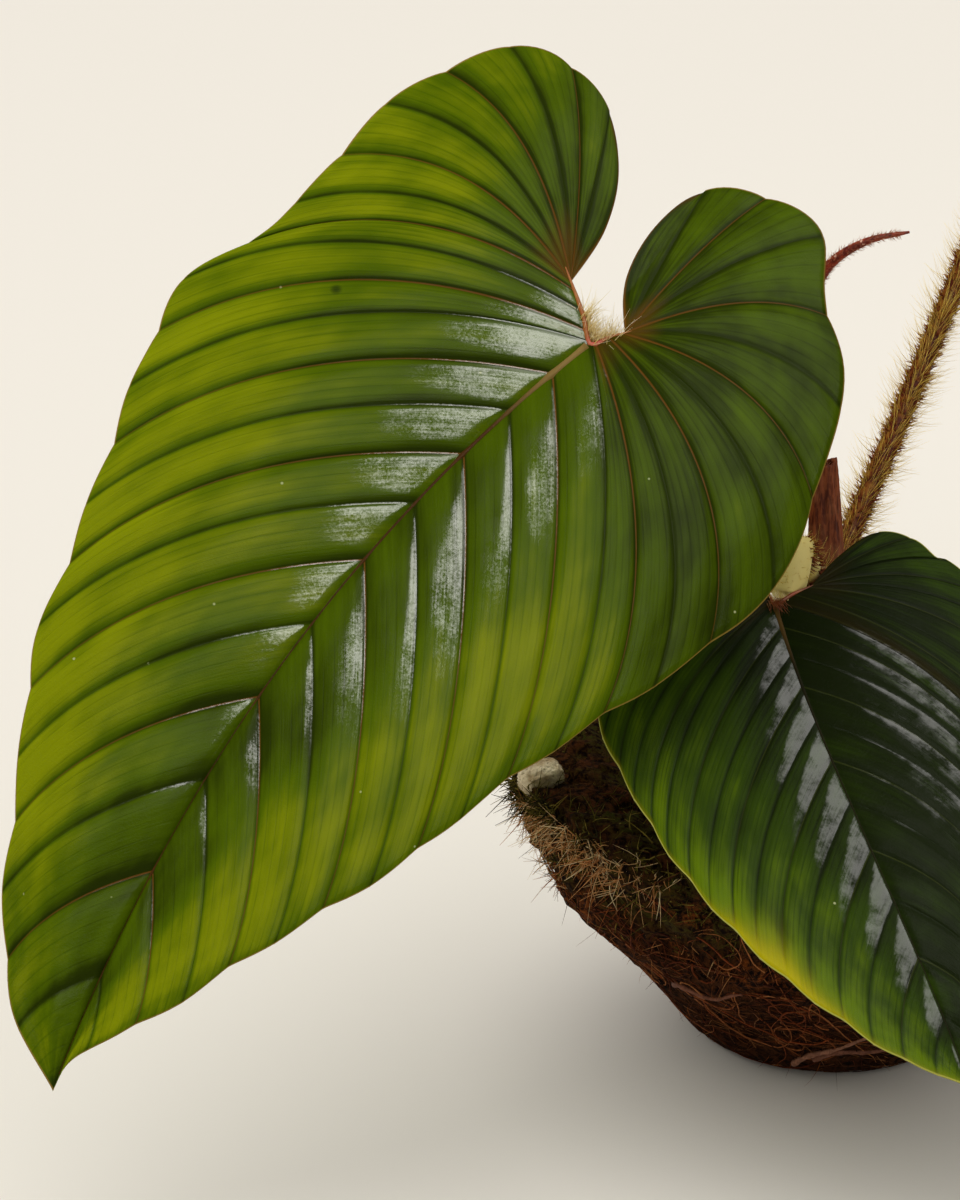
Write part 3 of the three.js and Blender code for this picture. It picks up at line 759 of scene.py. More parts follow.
def make_piece(name, bm, material=None, instead_of=None):
    """A finished bmesh as an object at the origin that rides on the plant's one body."""
    mesh = bpy.data.meshes.new(name)
    bm.to_mesh(mesh)
    bm.free()
    piece = bpy.data.objects.new(name, mesh)
    bpy.context.scene.collection.objects.link(piece)
    if material:
        mesh.materials.append(material)
    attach(piece, "root")
    if instead_of:
        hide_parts(instead_of)
    print(name, len(mesh.polygons), "faces")
    return piece


leaves = {}
for key, form in blades.items():
    bm = sheet_of(form)
    give_thickness(bm, form)
    add_midrib(bm, form)
    leaves[key] = make_piece(f"leaf_{key}", bm, instead_of=f"blade_{key}")

# %% [markdown]
# ## Colour of a blade
# The upper face is painted yellower between the veins and darker beside them, down in the creases,
# which is painted shade, and each leaf has its own greens.
# A strong vein shows as a thin orange line at the bottom of its crease and a weak one as a darker
# green line. The blade's own UV map counts side veins, so the distance to the nearest one, in
# millimetres, is one expression: how far the count is from a whole number, times the gap between
# veins there. The wax is a clear coat that shows only where the points say so, in fine streaks
# that run with the veins. Elsewhere it is nearly off, because a coat that is on all over mirrors
# the softboxes all over and hides the green. The lower face is paler and duller, with its ribs
# paler still.

# %% Leaf material
def leaf_paint(name, greens, edge_color, veins, rib, meeting, roughness, shine, blotchy, grainy):
    """Pairs of colours are the strong and the weak vein, and the rib's foot and the rest of it."""
    deep, mid, bright = greens
    p = Paint(name, roughness=roughness, Specular_IOR_Level=0.01, Coat_Roughness=0.15)
    uv = p.node("ShaderNodeUVMap", {"uv_map": "UVMap"})
    vein = p.node("ShaderNodeSeparateXYZ", {}, uv, output=0)
    out = p.node("ShaderNodeSeparateXYZ", {}, uv, output=1)
    gap, edge = p.attribute("gap"), p.attribute("edge")
    on_rib, under = p.attribute("rib"), p.attribute("under")
    place = p.place()

    # How far a point is from the nearest side vein, in mm, and whether that one is strong
    near = ((vein + 0.5).fraction() - 0.5).absolute() * gap
    count = ((vein * 0.5 + 0.5).fraction() - 0.5).absolute() * 2
    strong = count.step(0.55, 0.45)
    width = (0.13 + strong * 0.12) * (1 - out * 0.4)
    line = (near / width).step(1.7, 0.6)
    # Painted shade: the green is darkened within 1.5 mm of a vein, down in its crease.
    painted_crease_shade = near.step(1.5, 0.0)
    minor = ((vein * 5 + 0.5).fraction() - 0.5).absolute() * gap / 5
    minor_line = minor.step(0.35, 0.1) * out.step(0.03, 0.2)

    # Streaks that run with the veins, patches that lie anywhere, and the green they make, with painted
    # shade in the creases
    streaks = p.noise(p.vector(vein * 7, out * 3, 0), 1, 3, 0.55)
    hatch = p.noise(p.vector(vein * 24, out * 7, 0), 1, 3, 0.6)
    patches = p.noise(place, 20, 2, 0.5)
    clouds = p.noise(p.vector(vein * 1.1, out * 5, 0), 1, 2, 0.5)
    between = ((vein + 0.5).fraction() - 0.5).absolute() * 2
    ripe = p.attribute("ripe") + (patches - 0.5) * 0.5 + (clouds - 0.5) * 0.5 + (streaks - 0.5) * 0.32
    # Painted shade: darker beside each vein, down in its crease, and lighter in the middle of each
    # panel.
    ripe = ripe + (between - 0.6) * 0.12 - painted_crease_shade * 0.22 - minor_line * 0.07
    green = p.mix(ripe.step(0.0, 0.5), deep, mid)
    green = p.mix(ripe.step(0.4, 0.9), green, bright)

    # Pale specks, and small dark rings with a pale middle
    dots = p.node("ShaderNodeTexVoronoi", {}, Vector=place, Scale=95.0)
    dot_kind = p.noise(place, 160, 0)
    pale_dot = dots.step(0.045, 0.02) * dot_kind.step(0.5, 0.52)
    green = p.mix(pale_dot * 0.8, green, "b9c08a")
    rings = p.node("ShaderNodeTexVoronoi", {}, Vector=place, Scale=15.0)
    green = p.mix(rings.step(0.035, 0.015) * 0.75, green, "1c2a0c")
    green = p.mix(rings.step(0.007, 0.004), green, "a9b48a")

    # Veins, the notch where they meet, the yellow margin, the edge and the midrib
    fading = 1 - out * 0.5
    green = p.mix(line * (0.55 + strong * 0.35) * fading, green, p.mix(strong, veins[1], veins[0]))
    green = p.mix(gap.step(4.5, 1.0) * under.step(0.5, 0.4) * 0.5, green, meeting)
    green = p.mix((p.attribute("glow") * (0.7 + streaks * 0.6)).step(0.05, 0.85), green, "a9a00c")
    green = p.mix(edge.step(0.7, 0.2), green, edge_color)
    green = p.mix(on_rib, green, p.mix(p.attribute("run").step(0.02, 0.17), *rib))

    # The lower face
    lower = p.mix(patches.step(0.3, 0.7), "5d6f2c", "74823a")
    lower = p.mix(near.step(1.6, 0.4) * 0.8, lower, "a3a066")
    color = p.mix(under.step(0.4, 0.6), green, lower)

    # Relief, wax and roughness
    grain = p.noise(place, 1500, 2, 0.7)
    wrinkles = p.noise(place, 300, 2, 0.5)
    height = streaks * 0.5 + hatch * 0.7 + grain * 0.5 + wrinkles * 0.4 - minor_line * 0.15
    normal = p.bump(height, 0.0004, 0.6)
    blots = p.noise(place, 190, 4, 0.65)
    shown = p.attribute("gloss")
    uneven = hatch - 0.5 + (blots - 0.5) * blotchy + (grain - 0.5) * grainy
    wax = (shown * 0.84 + uneven * shown.step(0.05, 0.5)).step(0.15, 0.95) * shine + blots * 0.025
    wax = wax * (1 - under * 0.8)
    rough = roughness + (streaks - 0.5) * 0.3 + under * 0.3 + on_rib * 0.15
    return p.finish(Base_Color=color, Roughness=rough, Normal=normal, Coat_Weight=wax)


green_leaf = leaf_paint(
    "green_leaf", greens=("263203", "4a6002", "7e8a06"), edge_color="8a7232",
    veins=("6e4818", "2a360a"), rib=("8c7440", "4c3012"), meeting="6e4812",
    roughness=0.28, shine=0.85, blotchy=0.9, grainy=1.1,
)
dark_leaf = leaf_paint(
    "dark_leaf", greens=("161e08", "2c4007", "587006"), edge_color="b0ae50",
    veins=("2c3410", "18240a"), rib=("5a4420", "1e1c0c"), meeting="2c2008",
    roughness=0.22, shine=0.8, blotchy=2.0, grainy=0.4,
)
for key, leaf in leaves.items():
    leaf.data.materials.append(dark_leaf if key == "right" else green_leaf)
print("materials:", green_leaf.name, dark_leaf.name)

# %% [markdown]
# ## Petioles
# A petiole of this plant is set all round with bristles: stout red-brown ones about 2 mm long,
# and far more fine golden ones that curve towards the blade. They are what the eye sees from a
# step away, so each bristle is a real strand. Hair particles would not leave Blender with the
# model, and a texture would give the petiole a smooth outline. A strand's tone says what it is:
# 0 is the petiole itself, about 0.3 a stout bristle, and above 0.5 a fine one.

# %% Bristles on a rod
def through(points, count):
    """Evenly spaced points on a smooth line through a few."""
    return along(smooth_line(points), np.linspace(0, 1, count))


def unit(vectors):
    return vectors / np.maximum(np.linalg.norm(vectors, axis=-1, keepdims=True), 1e-9)


def bristles(line, radius, count, length, thickness, lean=0.3, curl=0.5, spread=0.3, reach=(0, 1)):
    """Strands that stand out of a rod and curve along it: their lines and radii, in mm."""
    first, second = (v[0] for v in frames_along(line[None]))
    at = rng.uniform(*reach, count) * (len(line) - 1)
    low = np.minimum(at.astype(int), len(line) - 2)
    part = (at - low)[:, None]
    forward = unit(line[low + 1] - line[low])
    turn = rng.uniform(0, math.tau, count)[:, None]
    out = first[low] * np.cos(turn) + second[low] * np.sin(turn)
    foot = line[low] * (1 - part) + line[low + 1] * part + out * (radius[low, None] - 0.3)
    aim = unit(out + forward * lean + rng.normal(0, spread, (count, 3)))
    bend = forward * curl + rng.normal(0, 0.25, (count, 3))
    size = rng.uniform(*length, count)[:, None, None]
    s = np.linspace(0, 1, 4)[:, None]
    lines = foot[:, None] + size * (aim[:, None] * s + bend[:, None] * s * s * 0.5)
    return lines, thickness * rng.uniform(0.7, 1.2, (count, 1)) * (1 - 0.85 * s.T)


test_line = through([(0, 0, 0), (0, 0, 9)], 5)
print("tip of a test bristle, mm:", bristles(test_line, np.ones(5), 1, (2, 2), 0.1)[0][0, -1])

# %% Petiole lines
JOINT_ALONG = {"front": -0.5, "right": -3.2, "back": -0.5}  # from the notch, along the midrib
JOINT_ACROSS = 1
JOINT_DEPTH = -3.5
PETIOLE_POINTS = 70
PETIOLE_FLARE, PETIOLE_NECK = 2.2, 0.9  # mm thicker at the stem, and below the blade
petiole_lines = {
    "front": [
        (0, 24, 106), (-12, 32, 124), (-28, 38, 154), (-44, 30, 184), (-54, 12, 201), (-60, -12, 210),
    ],
    "right": [(5, 20, 114), (2, 9, 134), (-1, -3, 148), (-4, -15, 151)],
    "back": [
        (10, 28, 113), (16, 48, 130), (36, 87, 159), (56, 122, 192), (74, 148, 222), (94, 170, 247),
        (110, 181, 257),
    ],
}
# radius in mm, counts of bristles, colour of the neck and the share of the length from which it
# has that colour and no bristles, and how much thinner it is where it meets the blade, in mm
petiole_looks = {
    "front": {"radius": 3.5, "stout": 600, "fine": 1700, "tip": "b8683c", "from": 0.88, "close": 1.9},
    "right": {"radius": 3.9, "stout": 260, "fine": 700, "tip": "d8c87c", "from": 0.42, "close": 0.5},
    "back": {"radius": 3.1, "stout": 2600, "fine": 3300, "tip": "7c5a34", "from": 0.93, "close": 2.5},
}
print("petioles:", ", ".join(petiole_looks))


# %% Skin and bristles of the petioles
def joint_of(key):
    form, x = blades[key], JOINT_ALONG[key]
    return form.world([x], [JOINT_ACROSS], [form.height(x, JOINT_ACROSS) + JOINT_DEPTH])[0]


def petiole_paint(name, tip_color, tip_from):
    p = Paint(name, roughness=0.6, Specular_IOR_Level=0.06)
    tone, run = p.attribute("tone"), p.attribute("run")
    blotch = p.noise(p.place(), 260, 3, 0.6)
    skin = p.mix(blotch.step(0.4, 0.62), "4a1a08", "7c4c12")
    skin = p.mix((run + (blotch - 0.5) * 0.06).step(tip_from, tip_from + 0.08), skin, tip_color)
    stout = p.mix(run, "4a1c0c", "8c4418")
    fine = p.mix(run * 0.6 + (tone - 0.6) * 1.2, "a07404", "f8dc6c")
    color = p.mix(tone.step(0.08, 0.12), skin, stout)
    color = p.mix(tone.step(0.5, 0.55), color, fine)
    return p.finish(Base_Color=color, Normal=p.bump(blotch, 0.0004, 0.6))


for key, look in petiole_looks.items():
    line = through([*petiole_lines[key], joint_of(key)], PETIOLE_POINTS)
    share = np.linspace(0, 1, PETIOLE_POINTS)
    radius = look["radius"] + PETIOLE_FLARE * (1 - smoothstep(share, 0, 0.16))
    radius += PETIOLE_NECK * smoothstep(share, 0.75, 0.9)
    radius -= look["close"] * smoothstep(share, 0.93, 1)
    bm = new_strands()
    strands(bm, [line], [radius], sides=20)
    # stout bristles, then fine ones: count, length, thickness, lean, curl and tone
    grown = [
        (look["stout"], (1.4, 2.6), 0.33, 0.3, 0.5, (0.2, 0.4)),
        (look["fine"], (3, 9), 0.085, 0.3, 0.9, (0.6, 1)),
    ]
    for count, length, thickness, lean, curl, tone in grown:
        reach = (0.02, look["from"])
        lines, radii = bristles(line, radius, count, length, thickness, lean, curl, reach=reach)
        strands(bm, lines, radii, tones=rng.uniform(*tone, count))
    # The right petiole's neck is seen close up between two blades, with bristles on its right edge
    if key == "right":
        count = 420
        lines, radii = bristles(line, radius, count, (1.8, 2.8), 0.34, 0.1, 0.2, 0.2, (0.38, 0.86))
        edge = (lines[:, -1] - lines[:, 0])[:, 0] > 1.5
        strands(bm, lines[edge], radii[edge], tones=np.full(edge.sum(), 0.3))
        lines, radii = bristles(line, radius, count, (1.4, 3), 0.095, 0.2, 0.3, 0.9, (0.55, 0.99))
        strands(bm, lines, radii, tones=rng.uniform(0.56, 0.75, count))
    paint = petiole_paint(f"petiole_{key}_skin", look["tip"], look["from"])
    make_piece(f"bristly_petiole_{key}", bm, paint, instead_of=f"petiole_{key}")

# %% [markdown]
# ## Where a petiole meets its blade
# The bare edge of the notch is a thick orange-brown rib, pink where it turns under the petiole's
# end, and long pale hairs stand up from there. The rib is one rod from the left corner of the
# notch, round under the petiole's end, to the right corner. The hairs are strands that leave the
# petiole's end and stand up through the notch.

# %% Rim and hairs of the notch
def notch_paint(name, middle, ends):
    p = Paint(name, roughness=0.45, Specular_IOR_Level=0.12)
    tone, run = p.attribute("tone"), p.attribute("run")
    mottle = p.noise(p.place(), 420, 2, 0.5)
    rim = p.mix((run - 0.68).absolute().step(0.03, 0.12), middle, ends)
    rim = p.mix(mottle.step(0.45, 0.7) * 0.25, rim, "c99a5c")
    hair = p.mix(run * 0.7 + tone * 0.4 - 0.3, "f0d47c", "fffae0")
    color = p.mix(tone.step(0.3, 0.4), rim, hair)
    return p.finish(Base_Color=color, Normal=p.bump(mottle, 0.0002, 0.5))


RIM_POINTS = 40
SEATS = 12
BEARD = 60  # hairs that lie out on the small blade
red_notch = notch_paint("red_notch", "cc6454", "a4622c")
dark_notch = notch_paint("dark_notch", "9a4422", "7c3c16")
for key, (rim_radius, hair_count, hair_length) in {
    "front": (0.8, 340, (4, 9)), "right": (0.65, 120, (1.5, 4)), "back": (0.8, 150, (3, 6)),
}.items():
    form = blades[key]
    left, right = form.corner
    start = np.array((0, form.lead))
    near_left, near_right = start + (left - start) * 0.45, start + (right - start) * 0.55
    route = [left * 1.25, left, near_left, start + (0.8, 0), near_right, right, right * 1.2]
    plan = through(route, RIM_POINTS)
    line = form.world(*plan.T, form.height(*plan.T) - 0.2)
    swell = rim_radius * (0.25 + 0.75 * np.sin(np.linspace(0, math.pi, RIM_POINTS)))
    bm = new_strands()
    strands(bm, [line], [swell], sides=10)
    # Hairs that stand up inside the rib
    foot = through([near_left, start + (-0.5, 0.5), near_right], SEATS)
    seat = form.world(*foot.T, form.height(*foot.T) - 1.6)
    lines, radii = bristles(seat, np.full(SEATS, 1.6), hair_count, hair_length, 0.13, 0, 0, 0.4)
    lines = seat[rng.integers(0, SEATS, hair_count)][:, None] + (lines - lines[:, :1]) * 0.45
    lines += rng.normal(0, 0.9, (hair_count, 1, 3)) * (1, 1, 0.3)
    s = np.linspace(0, 1, 4)[:, None]
    rise = s * rng.uniform(*hair_length, (hair_count, 1, 1)) * 0.75
    lines += rise * (form.n * 0.35 - form.a * 0.8)
    lines += rise**2 * rng.normal(0, 0.05, (hair_count, 1, 3))
    strands(bm, lines, radii, tones=rng.uniform(0.5, 1, hair_count))
    # On the small blade, hairs that lie out along the midrib
    if key == "right":
        along_rib, across = rng.normal(0.4, 0.5, BEARD), rng.normal(form.lead, 1.2, BEARD)
        root = form.world(along_rib, across, np.full(BEARD, 1.2))[:, None]
        aim = form.a * 0.9 + form.n * 0.35 + rng.normal(0, 0.25, (BEARD, 1, 3))
        lines = root + rng.uniform(2.5, 4.5, (BEARD, 1, 1)) * aim * s
        strands(bm, lines, 0.1 * (1 - 0.8 * s.T))
    paint = dark_notch if key == "right" else red_notch
    make_piece(f"notch_rim_{key}", bm, paint)

# %% [markdown]
# ## New shoot and its sheath
# The next leaf is still a thin red-brown shoot with short bristles and pale specks, bent over at
# the tip. It comes out of a dry, brick-red sheath, which wraps its foot and is torn at the top.

# %% Shoot
shoot_line = [
    (8, 30.5, 129), (6, 35, 160), (2, 36, 181), (1, 37, 202), (3, 37, 213), (8, 36, 222.5),
    (18, 35.5, 229), (30, 36, 231.5),
]
SHOOT_POINTS = 70
SHOOT_BRISTLES = 1900
SHOOT_RADIUS, SHOOT_TIP = 3.4, 0.35
line = through(shoot_line, SHOOT_POINTS)
radius = SHOOT_RADIUS * (1 - np.linspace(0, 1, SHOOT_POINTS)) ** 0.7 + SHOOT_TIP
bm = new_strands()
strands(bm, [line], [radius], sides=16)
lines, radii = bristles(
    line, radius, SHOOT_BRISTLES, (0.7, 1.6), 0.1, 0.5, 0.6, reach=(0.25, 0.98)
)
strands(bm, lines, radii, tones=rng.uniform(0.3, 0.9, SHOOT_BRISTLES))
print("faces of the shoot:", len(bm.faces))

# %% Skin of the shoot
p = Paint("shoot_skin", roughness=0.5, Specular_IOR_Level=0.1)
tone = p.attribute("tone")
grain = p.noise(p.place(), 500, 3, 0.6)
specks = p.node("ShaderNodeTexVoronoi", {}, Vector=p.place(), Scale=520.0)
skin = p.mix(grain.step(0.35, 0.65), "5e1c10", "943a22")
skin = p.mix(specks.step(0.34, 0.24) * grain.step(0.46, 0.52), skin, "e0b8a0")
color = p.mix(tone.step(0.1, 0.2), skin, p.mix(tone, "7a2e1c", "c98a62"))
paint = p.finish(Base_Color=color, Normal=p.bump(grain, 0.0003, 0.6))
make_piece("bristly_shoot", bm, paint, instead_of="new_shoot")

# %% Sheath
SHEATH_FROM, SHEATH_TO = 130, 164
SHEATH_RADIUS, SHEATH_TAPER = 6.6, 1.3
SHEATH_WALL = 0.7
bm = bmesh.new()
made = bmesh.ops.create_grid(bm, x_segments=48, y_segments=40, size=0.5)["verts"]
middle = through(shoot_line, 101)
for v in made:
    share, up = v.co.x * 2, v.co.y + 0.5
    torn = 0.05 * noise.noise((share * 4, 1.7, 0)) + 0.02 * noise.noise((share * 14, 5, 0))
    fold = 0.22 * math.sin(share * 16 + up * 2) + 0.15 * math.sin(share * 37 + 1)
    r = SHEATH_RADIUS - SHEATH_TAPER * up + fold
    turn = -0.2 + share * (2.2 - 0.2 * up)
    z = SHEATH_FROM + (SHEATH_TO - SHEATH_FROM) * up * (0.985 - 0.06 * share * share + torn * up)
    x, y, _ = middle[round(26 * up)]
    v.co = Vector((x + r * math.cos(turn), y + r * math.sin(turn), z)) * MM
bmesh.ops.recalc_face_normals(bm, faces=bm.faces[:])
bmesh.ops.solidify(bm, geom=bm.faces[:], thickness=SHEATH_WALL * MM)
close_skin(bm)
print("faces of the sheath:", len(bm.faces))

# %% Dry skin of the sheath
p = Paint("dry_sheath", roughness=0.7, Specular_IOR_Level=0.06)
place = p.place()
stretched = p.node("ShaderNodeMapping", {}, place, Scale=(1.0, 1.0, 0.08), output=0)
fibres = p.noise(stretched, 900, 3, 0.6)
cloud = p.noise(place, 140, 2, 0.5)
color = p.mix(fibres.step(0.35, 0.65), "4c1e0c", "864422")
color = p.mix(cloud.step(0.45, 0.7) * 0.4, color, "96603c")
paint = p.finish(Base_Color=color, Normal=p.bump(fibres, 0.0004, 0.7))
make_piece("torn_sheath", bm, paint, instead_of="sheath")

# %% [markdown]
# ## Stem and air roots
# The short stem is woody, with a ring where each old leaf was, and it sends air roots down over
# the top of the root ball.

# %% Stem
STEM_RADIUS = 9
STEM_RINGS = 5
stem_line = through([(2, 8, 36), (3, 10, 60), (5, 14, 85), (7, 22, 110), (8, 30, 132)], 90)
share = np.linspace(0, 1, 90)
turns = share * math.tau * STEM_RINGS
rings = 0.9 * np.cos(turns) + 0.35 * np.maximum(np.cos(turns + 0.4), 0) ** 12
stem_radius = STEM_RADIUS + rings - 3 * smoothstep(share, 0.9, 1)
air_roots = [
    [(4, 14, 92), (-14, 6, 96), (-30, -2, 90), (-36, -5, 78), (-38, -6, 66)],
    [(6, 18, 100), (22, 6, 104), (36, -4, 95), (42, -9, 80), (44, -10, 66)],
    [(6, 20, 104), (14, 40, 106), (22, 52, 94), (25, 56, 78), (26, 58, 66)],
]
bm = new_strands()
strands(bm, [stem_line], [stem_radius], sides=32)
root_lines = [through(points, 40) for points in air_roots]
knots = 1.7 + 0.25 * np.sin(np.linspace(0, 30, 40)) + 0.15 * np.sin(np.linspace(0, 71, 40))
strands(bm, root_lines, knots, sides=12, tones=[0.8] * 3)
print("thickness of the stem, mm:", 2 * stem_radius.min().round(1), 2 * stem_radius.max().round(1))

# %% Bark of the stem
p = Paint("woody_stem", roughness=0.8, Specular_IOR_Level=0.25)
bark = p.noise(p.place(), 300, 4, 0.65)
wood = p.mix(bark.step(0.35, 0.7), "4a3420", "8b7350")
root = p.mix(bark.step(0.4, 0.65), "8a6a4a", "c0a480")
color = p.mix(p.attribute("tone"), wood, root)
paint = p.finish(Base_Color=color, Normal=p.bump(bark, 0.0012, 0.8))
make_piece("ringed_stem", bm, paint, instead_of="stem")

# %% [markdown]
# ## Root ball
# The plant was knocked out of its pot, so the ball keeps the pot's round form: dark peat, matted
# with thousands of fine roots, a few thick pinkish ones that circled the pot, and moss and coir
# towards the rim. The peat is a spun profile whose points are moved by the same lumps as the
# solid, plus crumbs. The roots are strands that crawl over it, and the moss, the coir and the
# straws are strands that stick out of it.

# %% Form of the ball
SOIL_HEIGHT = 85
BOWL_SHIFT = 10
RIM_POINT = 9
LUMP_HEIGHT = 2.4
bowl = [
    (0, 0), (36, 0), (41, 3), (47, 12), (56, 24), (66, 36), (73, 47), (79, 60), (83, 74),
    (80, 83), (62, 86), (38, 85), (16, 86), (0, 86),
]
side_profile = np.array(bowl[1:RIM_POINT], float)


def lumps(angle, z):
    return (
        0.5 * np.sin(3 * angle + 0.07 * z + 0.6) * np.cos(0.11 * z)
        + 0.3 * np.sin(7 * angle - 0.12 * z + 2.1)
        + 0.3 * np.sin(11 * angle + 0.19 * z)
    )


def on_ball(angle, radius, z, out=0.0):
    """Points of the ball's side, `out` mm off it."""
    settled = smoothstep(z, 0, 14)
    r = np.where(radius < 1, radius, radius + out + LUMP_HEIGHT * lumps(angle, z) * settled)
    shift = BOWL_SHIFT * (1 - np.minimum(1, z / SOIL_HEIGHT))
    return np.stack([r * np.cos(angle) + shift, r * np.sin(angle), z + 0 * r], axis=-1)


def side_radius(z):
    return np.interp(z, side_profile[:, 1], side_profile[:, 0])


print("radius half way up, mm:", side_radius(43))

# %% Peat
ROUGH_FROM, ROUGH_TO = 18, 58  # the ball is smooth below, where the pot pressed it
CRUMBS = ((3.2, 0.09), (2, 0.22), (1.3, 0.6))  # height in mm, and how often
PEAT_SUNK = 0.25
bm = bmesh.new()
profile = along(np.array(bowl, float), np.linspace(0, 1, 120))
ring = [bm.verts.new((r, 0, z)) for r, z in profile]
edges = [bm.edges.new(pair) for pair in zip(ring, ring[1:])]
bmesh.ops.spin(
    bm, geom=[*ring, *edges], cent=(0, 0, 0), axis=(0, 0, 1), angle=math.tau, steps=240,
    use_merge=True,
)
bmesh.ops.remove_doubles(bm, verts=bm.verts[:], dist=1e-3)
for v in bm.verts:
    x, y, z = v.co
    angle, radius = math.atan2(y, x), math.hypot(x, y)
    crumb = sum(size * noise.noise(v.co * often) for size, often in CRUMBS)
    crumb *= 0.3 + 0.9 * float(smoothstep(z, ROUGH_FROM, ROUGH_TO))
    off = crumb * min(1, z / 6) - PEAT_SUNK
    place = on_ball(np.array(angle), np.array(radius), np.array(z), off)
    mound = LUMP_HEIGHT * lumps(angle, radius) + crumb if z > 80 and radius > 1 else 0
    v.co = Vector(place + (0, 0, float(mound))) * MM
close_skin(bm)
print("points of the peat:", len(bm.verts))

# %% Colours of the peat
p = Paint("peat", roughness=0.95, Specular_IOR_Level=0.06)
place = p.place()
height = p.node("ShaderNodeSeparateXYZ", {}, place, output=2) * 1000
crumbs = p.noise(place, 420, 5, 0.7)
grains = p.node("ShaderNodeTexVoronoi", {}, Vector=place, Scale=620.0)
patches = p.noise(place, 55, 3, 0.6)
color = p.mix(crumbs.step(0.38, 0.62), "100804", "462610")
mossy = height.step(48, 66) * patches.step(0.42, 0.58)
color = p.mix(mossy * crumbs.step(0.42, 0.6), color, "33340e")
rusty = height.step(36, 50) * height.step(76, 66) * patches.step(0.5, 0.4)
color = p.mix(rusty * crumbs.step(0.45, 0.65), color, "7a4018")
color = p.mix(grains.step(0.12, 0.05) * patches.step(0.5, 0.6) * 0.7, color, "8a6a48")
paint = p.finish(Base_Color=color, Normal=p.bump(crumbs, 0.002, 0.9))
make_piece("peat_ball", bm, paint, instead_of="root_ball")


# %% Roots that crawl over the ball
def crawling(count, length, height, thickness, rings, off, wander, curl=0.0, level=False):
    """Strands that hug the ball's side: their lines and radii, in mm."""
    angle = rng.uniform(0, math.tau, count)
    z = rng.uniform(*height, count)
    heading = rng.uniform(0, math.tau, count)
    if level:
        heading = rng.normal(0, 0.4, count) + rng.choice([0, math.pi], count)
    step = (rng.uniform(*length, count) / (rings - 1))[:, None]
    turning = rng.normal(0, curl, (count, 1)) if curl else 0
    turns = heading[:, None] + np.cumsum(rng.normal(0, wander, (count, rings)) + turning, axis=1)
    z = np.clip(z[:, None] + np.cumsum(np.sin(turns) * step, axis=1), 1.2, 84)
    angle = angle[:, None] + np.cumsum(np.cos(turns) * step, axis=1) / side_radius(z)
    lift = off + rng.normal(0, 0.4, (count, 1))
    lift = lift + np.cumsum(rng.normal(0, 0.2, (count, rings)), axis=1)
    lines = on_ball(angle, side_radius(z), z, np.minimum(lift, off + 0.3))
    lines[..., 2] = np.maximum(lines[..., 2], 0.6)
    taper = 1 - 0.6 * np.linspace(0, 1, rings)
    return lines, thickness * rng.uniform(0.5, 1.3, (count, 1)) * taper


def fibre_paint(name, *colors, roughness=0.8):
    """Each strand has one of the colours, or one between two of them, by its tone."""
    p = Paint(name, roughness=roughness, Specular_IOR_Level=0.08)
    stops = [(k / (len(colors) - 1), c) for k, c in enumerate(colors)]
    color = p.node("ShaderNodeValToRGB", {"stops": stops}, p.attribute("tone"))
    grain = p.noise(p.place(), 900, 2, 0.6)
    dark = p.mix(grain.step(0.3, 0.7) * 0.5, color, "2a170b")
    return p.finish(Base_Color=dark, Normal=p.bump(grain, 0.0003, 0.5))


def root_piece(name, groups, paint, sides=3):
    """One piece from groups of lines and radii, with a random tone for each strand."""
    bm = new_strands()
    for lines, radii in groups:
        strands(bm, lines, radii, sides, rng.uniform(0, 1, len(lines)) ** 1.2)
    make_piece(name, bm, paint)


fine = [
    crawling(1500, (8, 24), (2, 50), 0.14, 7, 0.0, 0.3, level=True),
    crawling(700, (10, 30), (2, 84), 0.2, 10, 0.15, 0.4),
]
root_piece("fine_roots", fine, fibre_paint("root_fibre", "1e0f07", "3c1e0e", "5a3018", "8a5a34"))
curly = [crawling(260, (20, 55), (14, 58), 0.28, 20, 0.1, 0.2, curl=0.26)]
red_root = fibre_paint("red_root", "3a170a", "5e2a12", "84401e", "a86a3c")
root_piece("curly_roots", curly, red_root, sides=4)

# %% Thick roots that circle the ball
# start and stop in degrees round the ball, and the heights between which the root climbs
circling = [
    (226, 248, 33, 37), (254, 284, 6, 24), (262, 300, 10, 15), (300, 340, 20, 34),
    (20, 84, 30, 50), (100, 178, 46, 34), (130, 190, 24, 38),
]
thick = []
for start, stop, low, high in circling:
    t = np.linspace(0, 1, 48)
    angle = np.radians(start + (stop - start) * t)
    z = low + (high - low) * t + 1.5 * np.sin(8 * t)
    line = on_ball(angle, side_radius(z), z, 0.4)
    radius = (0.95 + 0.12 * np.sin(31 * t) + 0.08 * np.sin(57 * t)) * (1 - 0.5 * t)
    thick.append((line[None], radius[None]))
thick_root = fibre_paint("thick_root", "6e4432", "8a5c48", "a87c60", roughness=0.6)
root_piece("circling_roots", thick, thick_root, sides=10)


# %% Moss, coir and straws
def hairs(foot, aim, length, thickness, swing, sag=0.0):
    """Strands that start at `foot` along `aim`, swing to one side and sag."""
    count = len(foot)
    s = np.linspace(0, 1, 5)[:, None]
    size = rng.uniform(*length, count)[:, None, None]
    bend = rng.normal(0, swing, (count, 1, 3)) - np.array((0, 0, sag))
    lines = foot[:, None] + size * (aim[:, None] * s + bend * s**2)
    lines[..., 2] = np.maximum(lines[..., 2], 0.4)
    return lines, thickness * rng.uniform(0.6, 1.3, (count, 1)) * (1 - 0.8 * s.T)


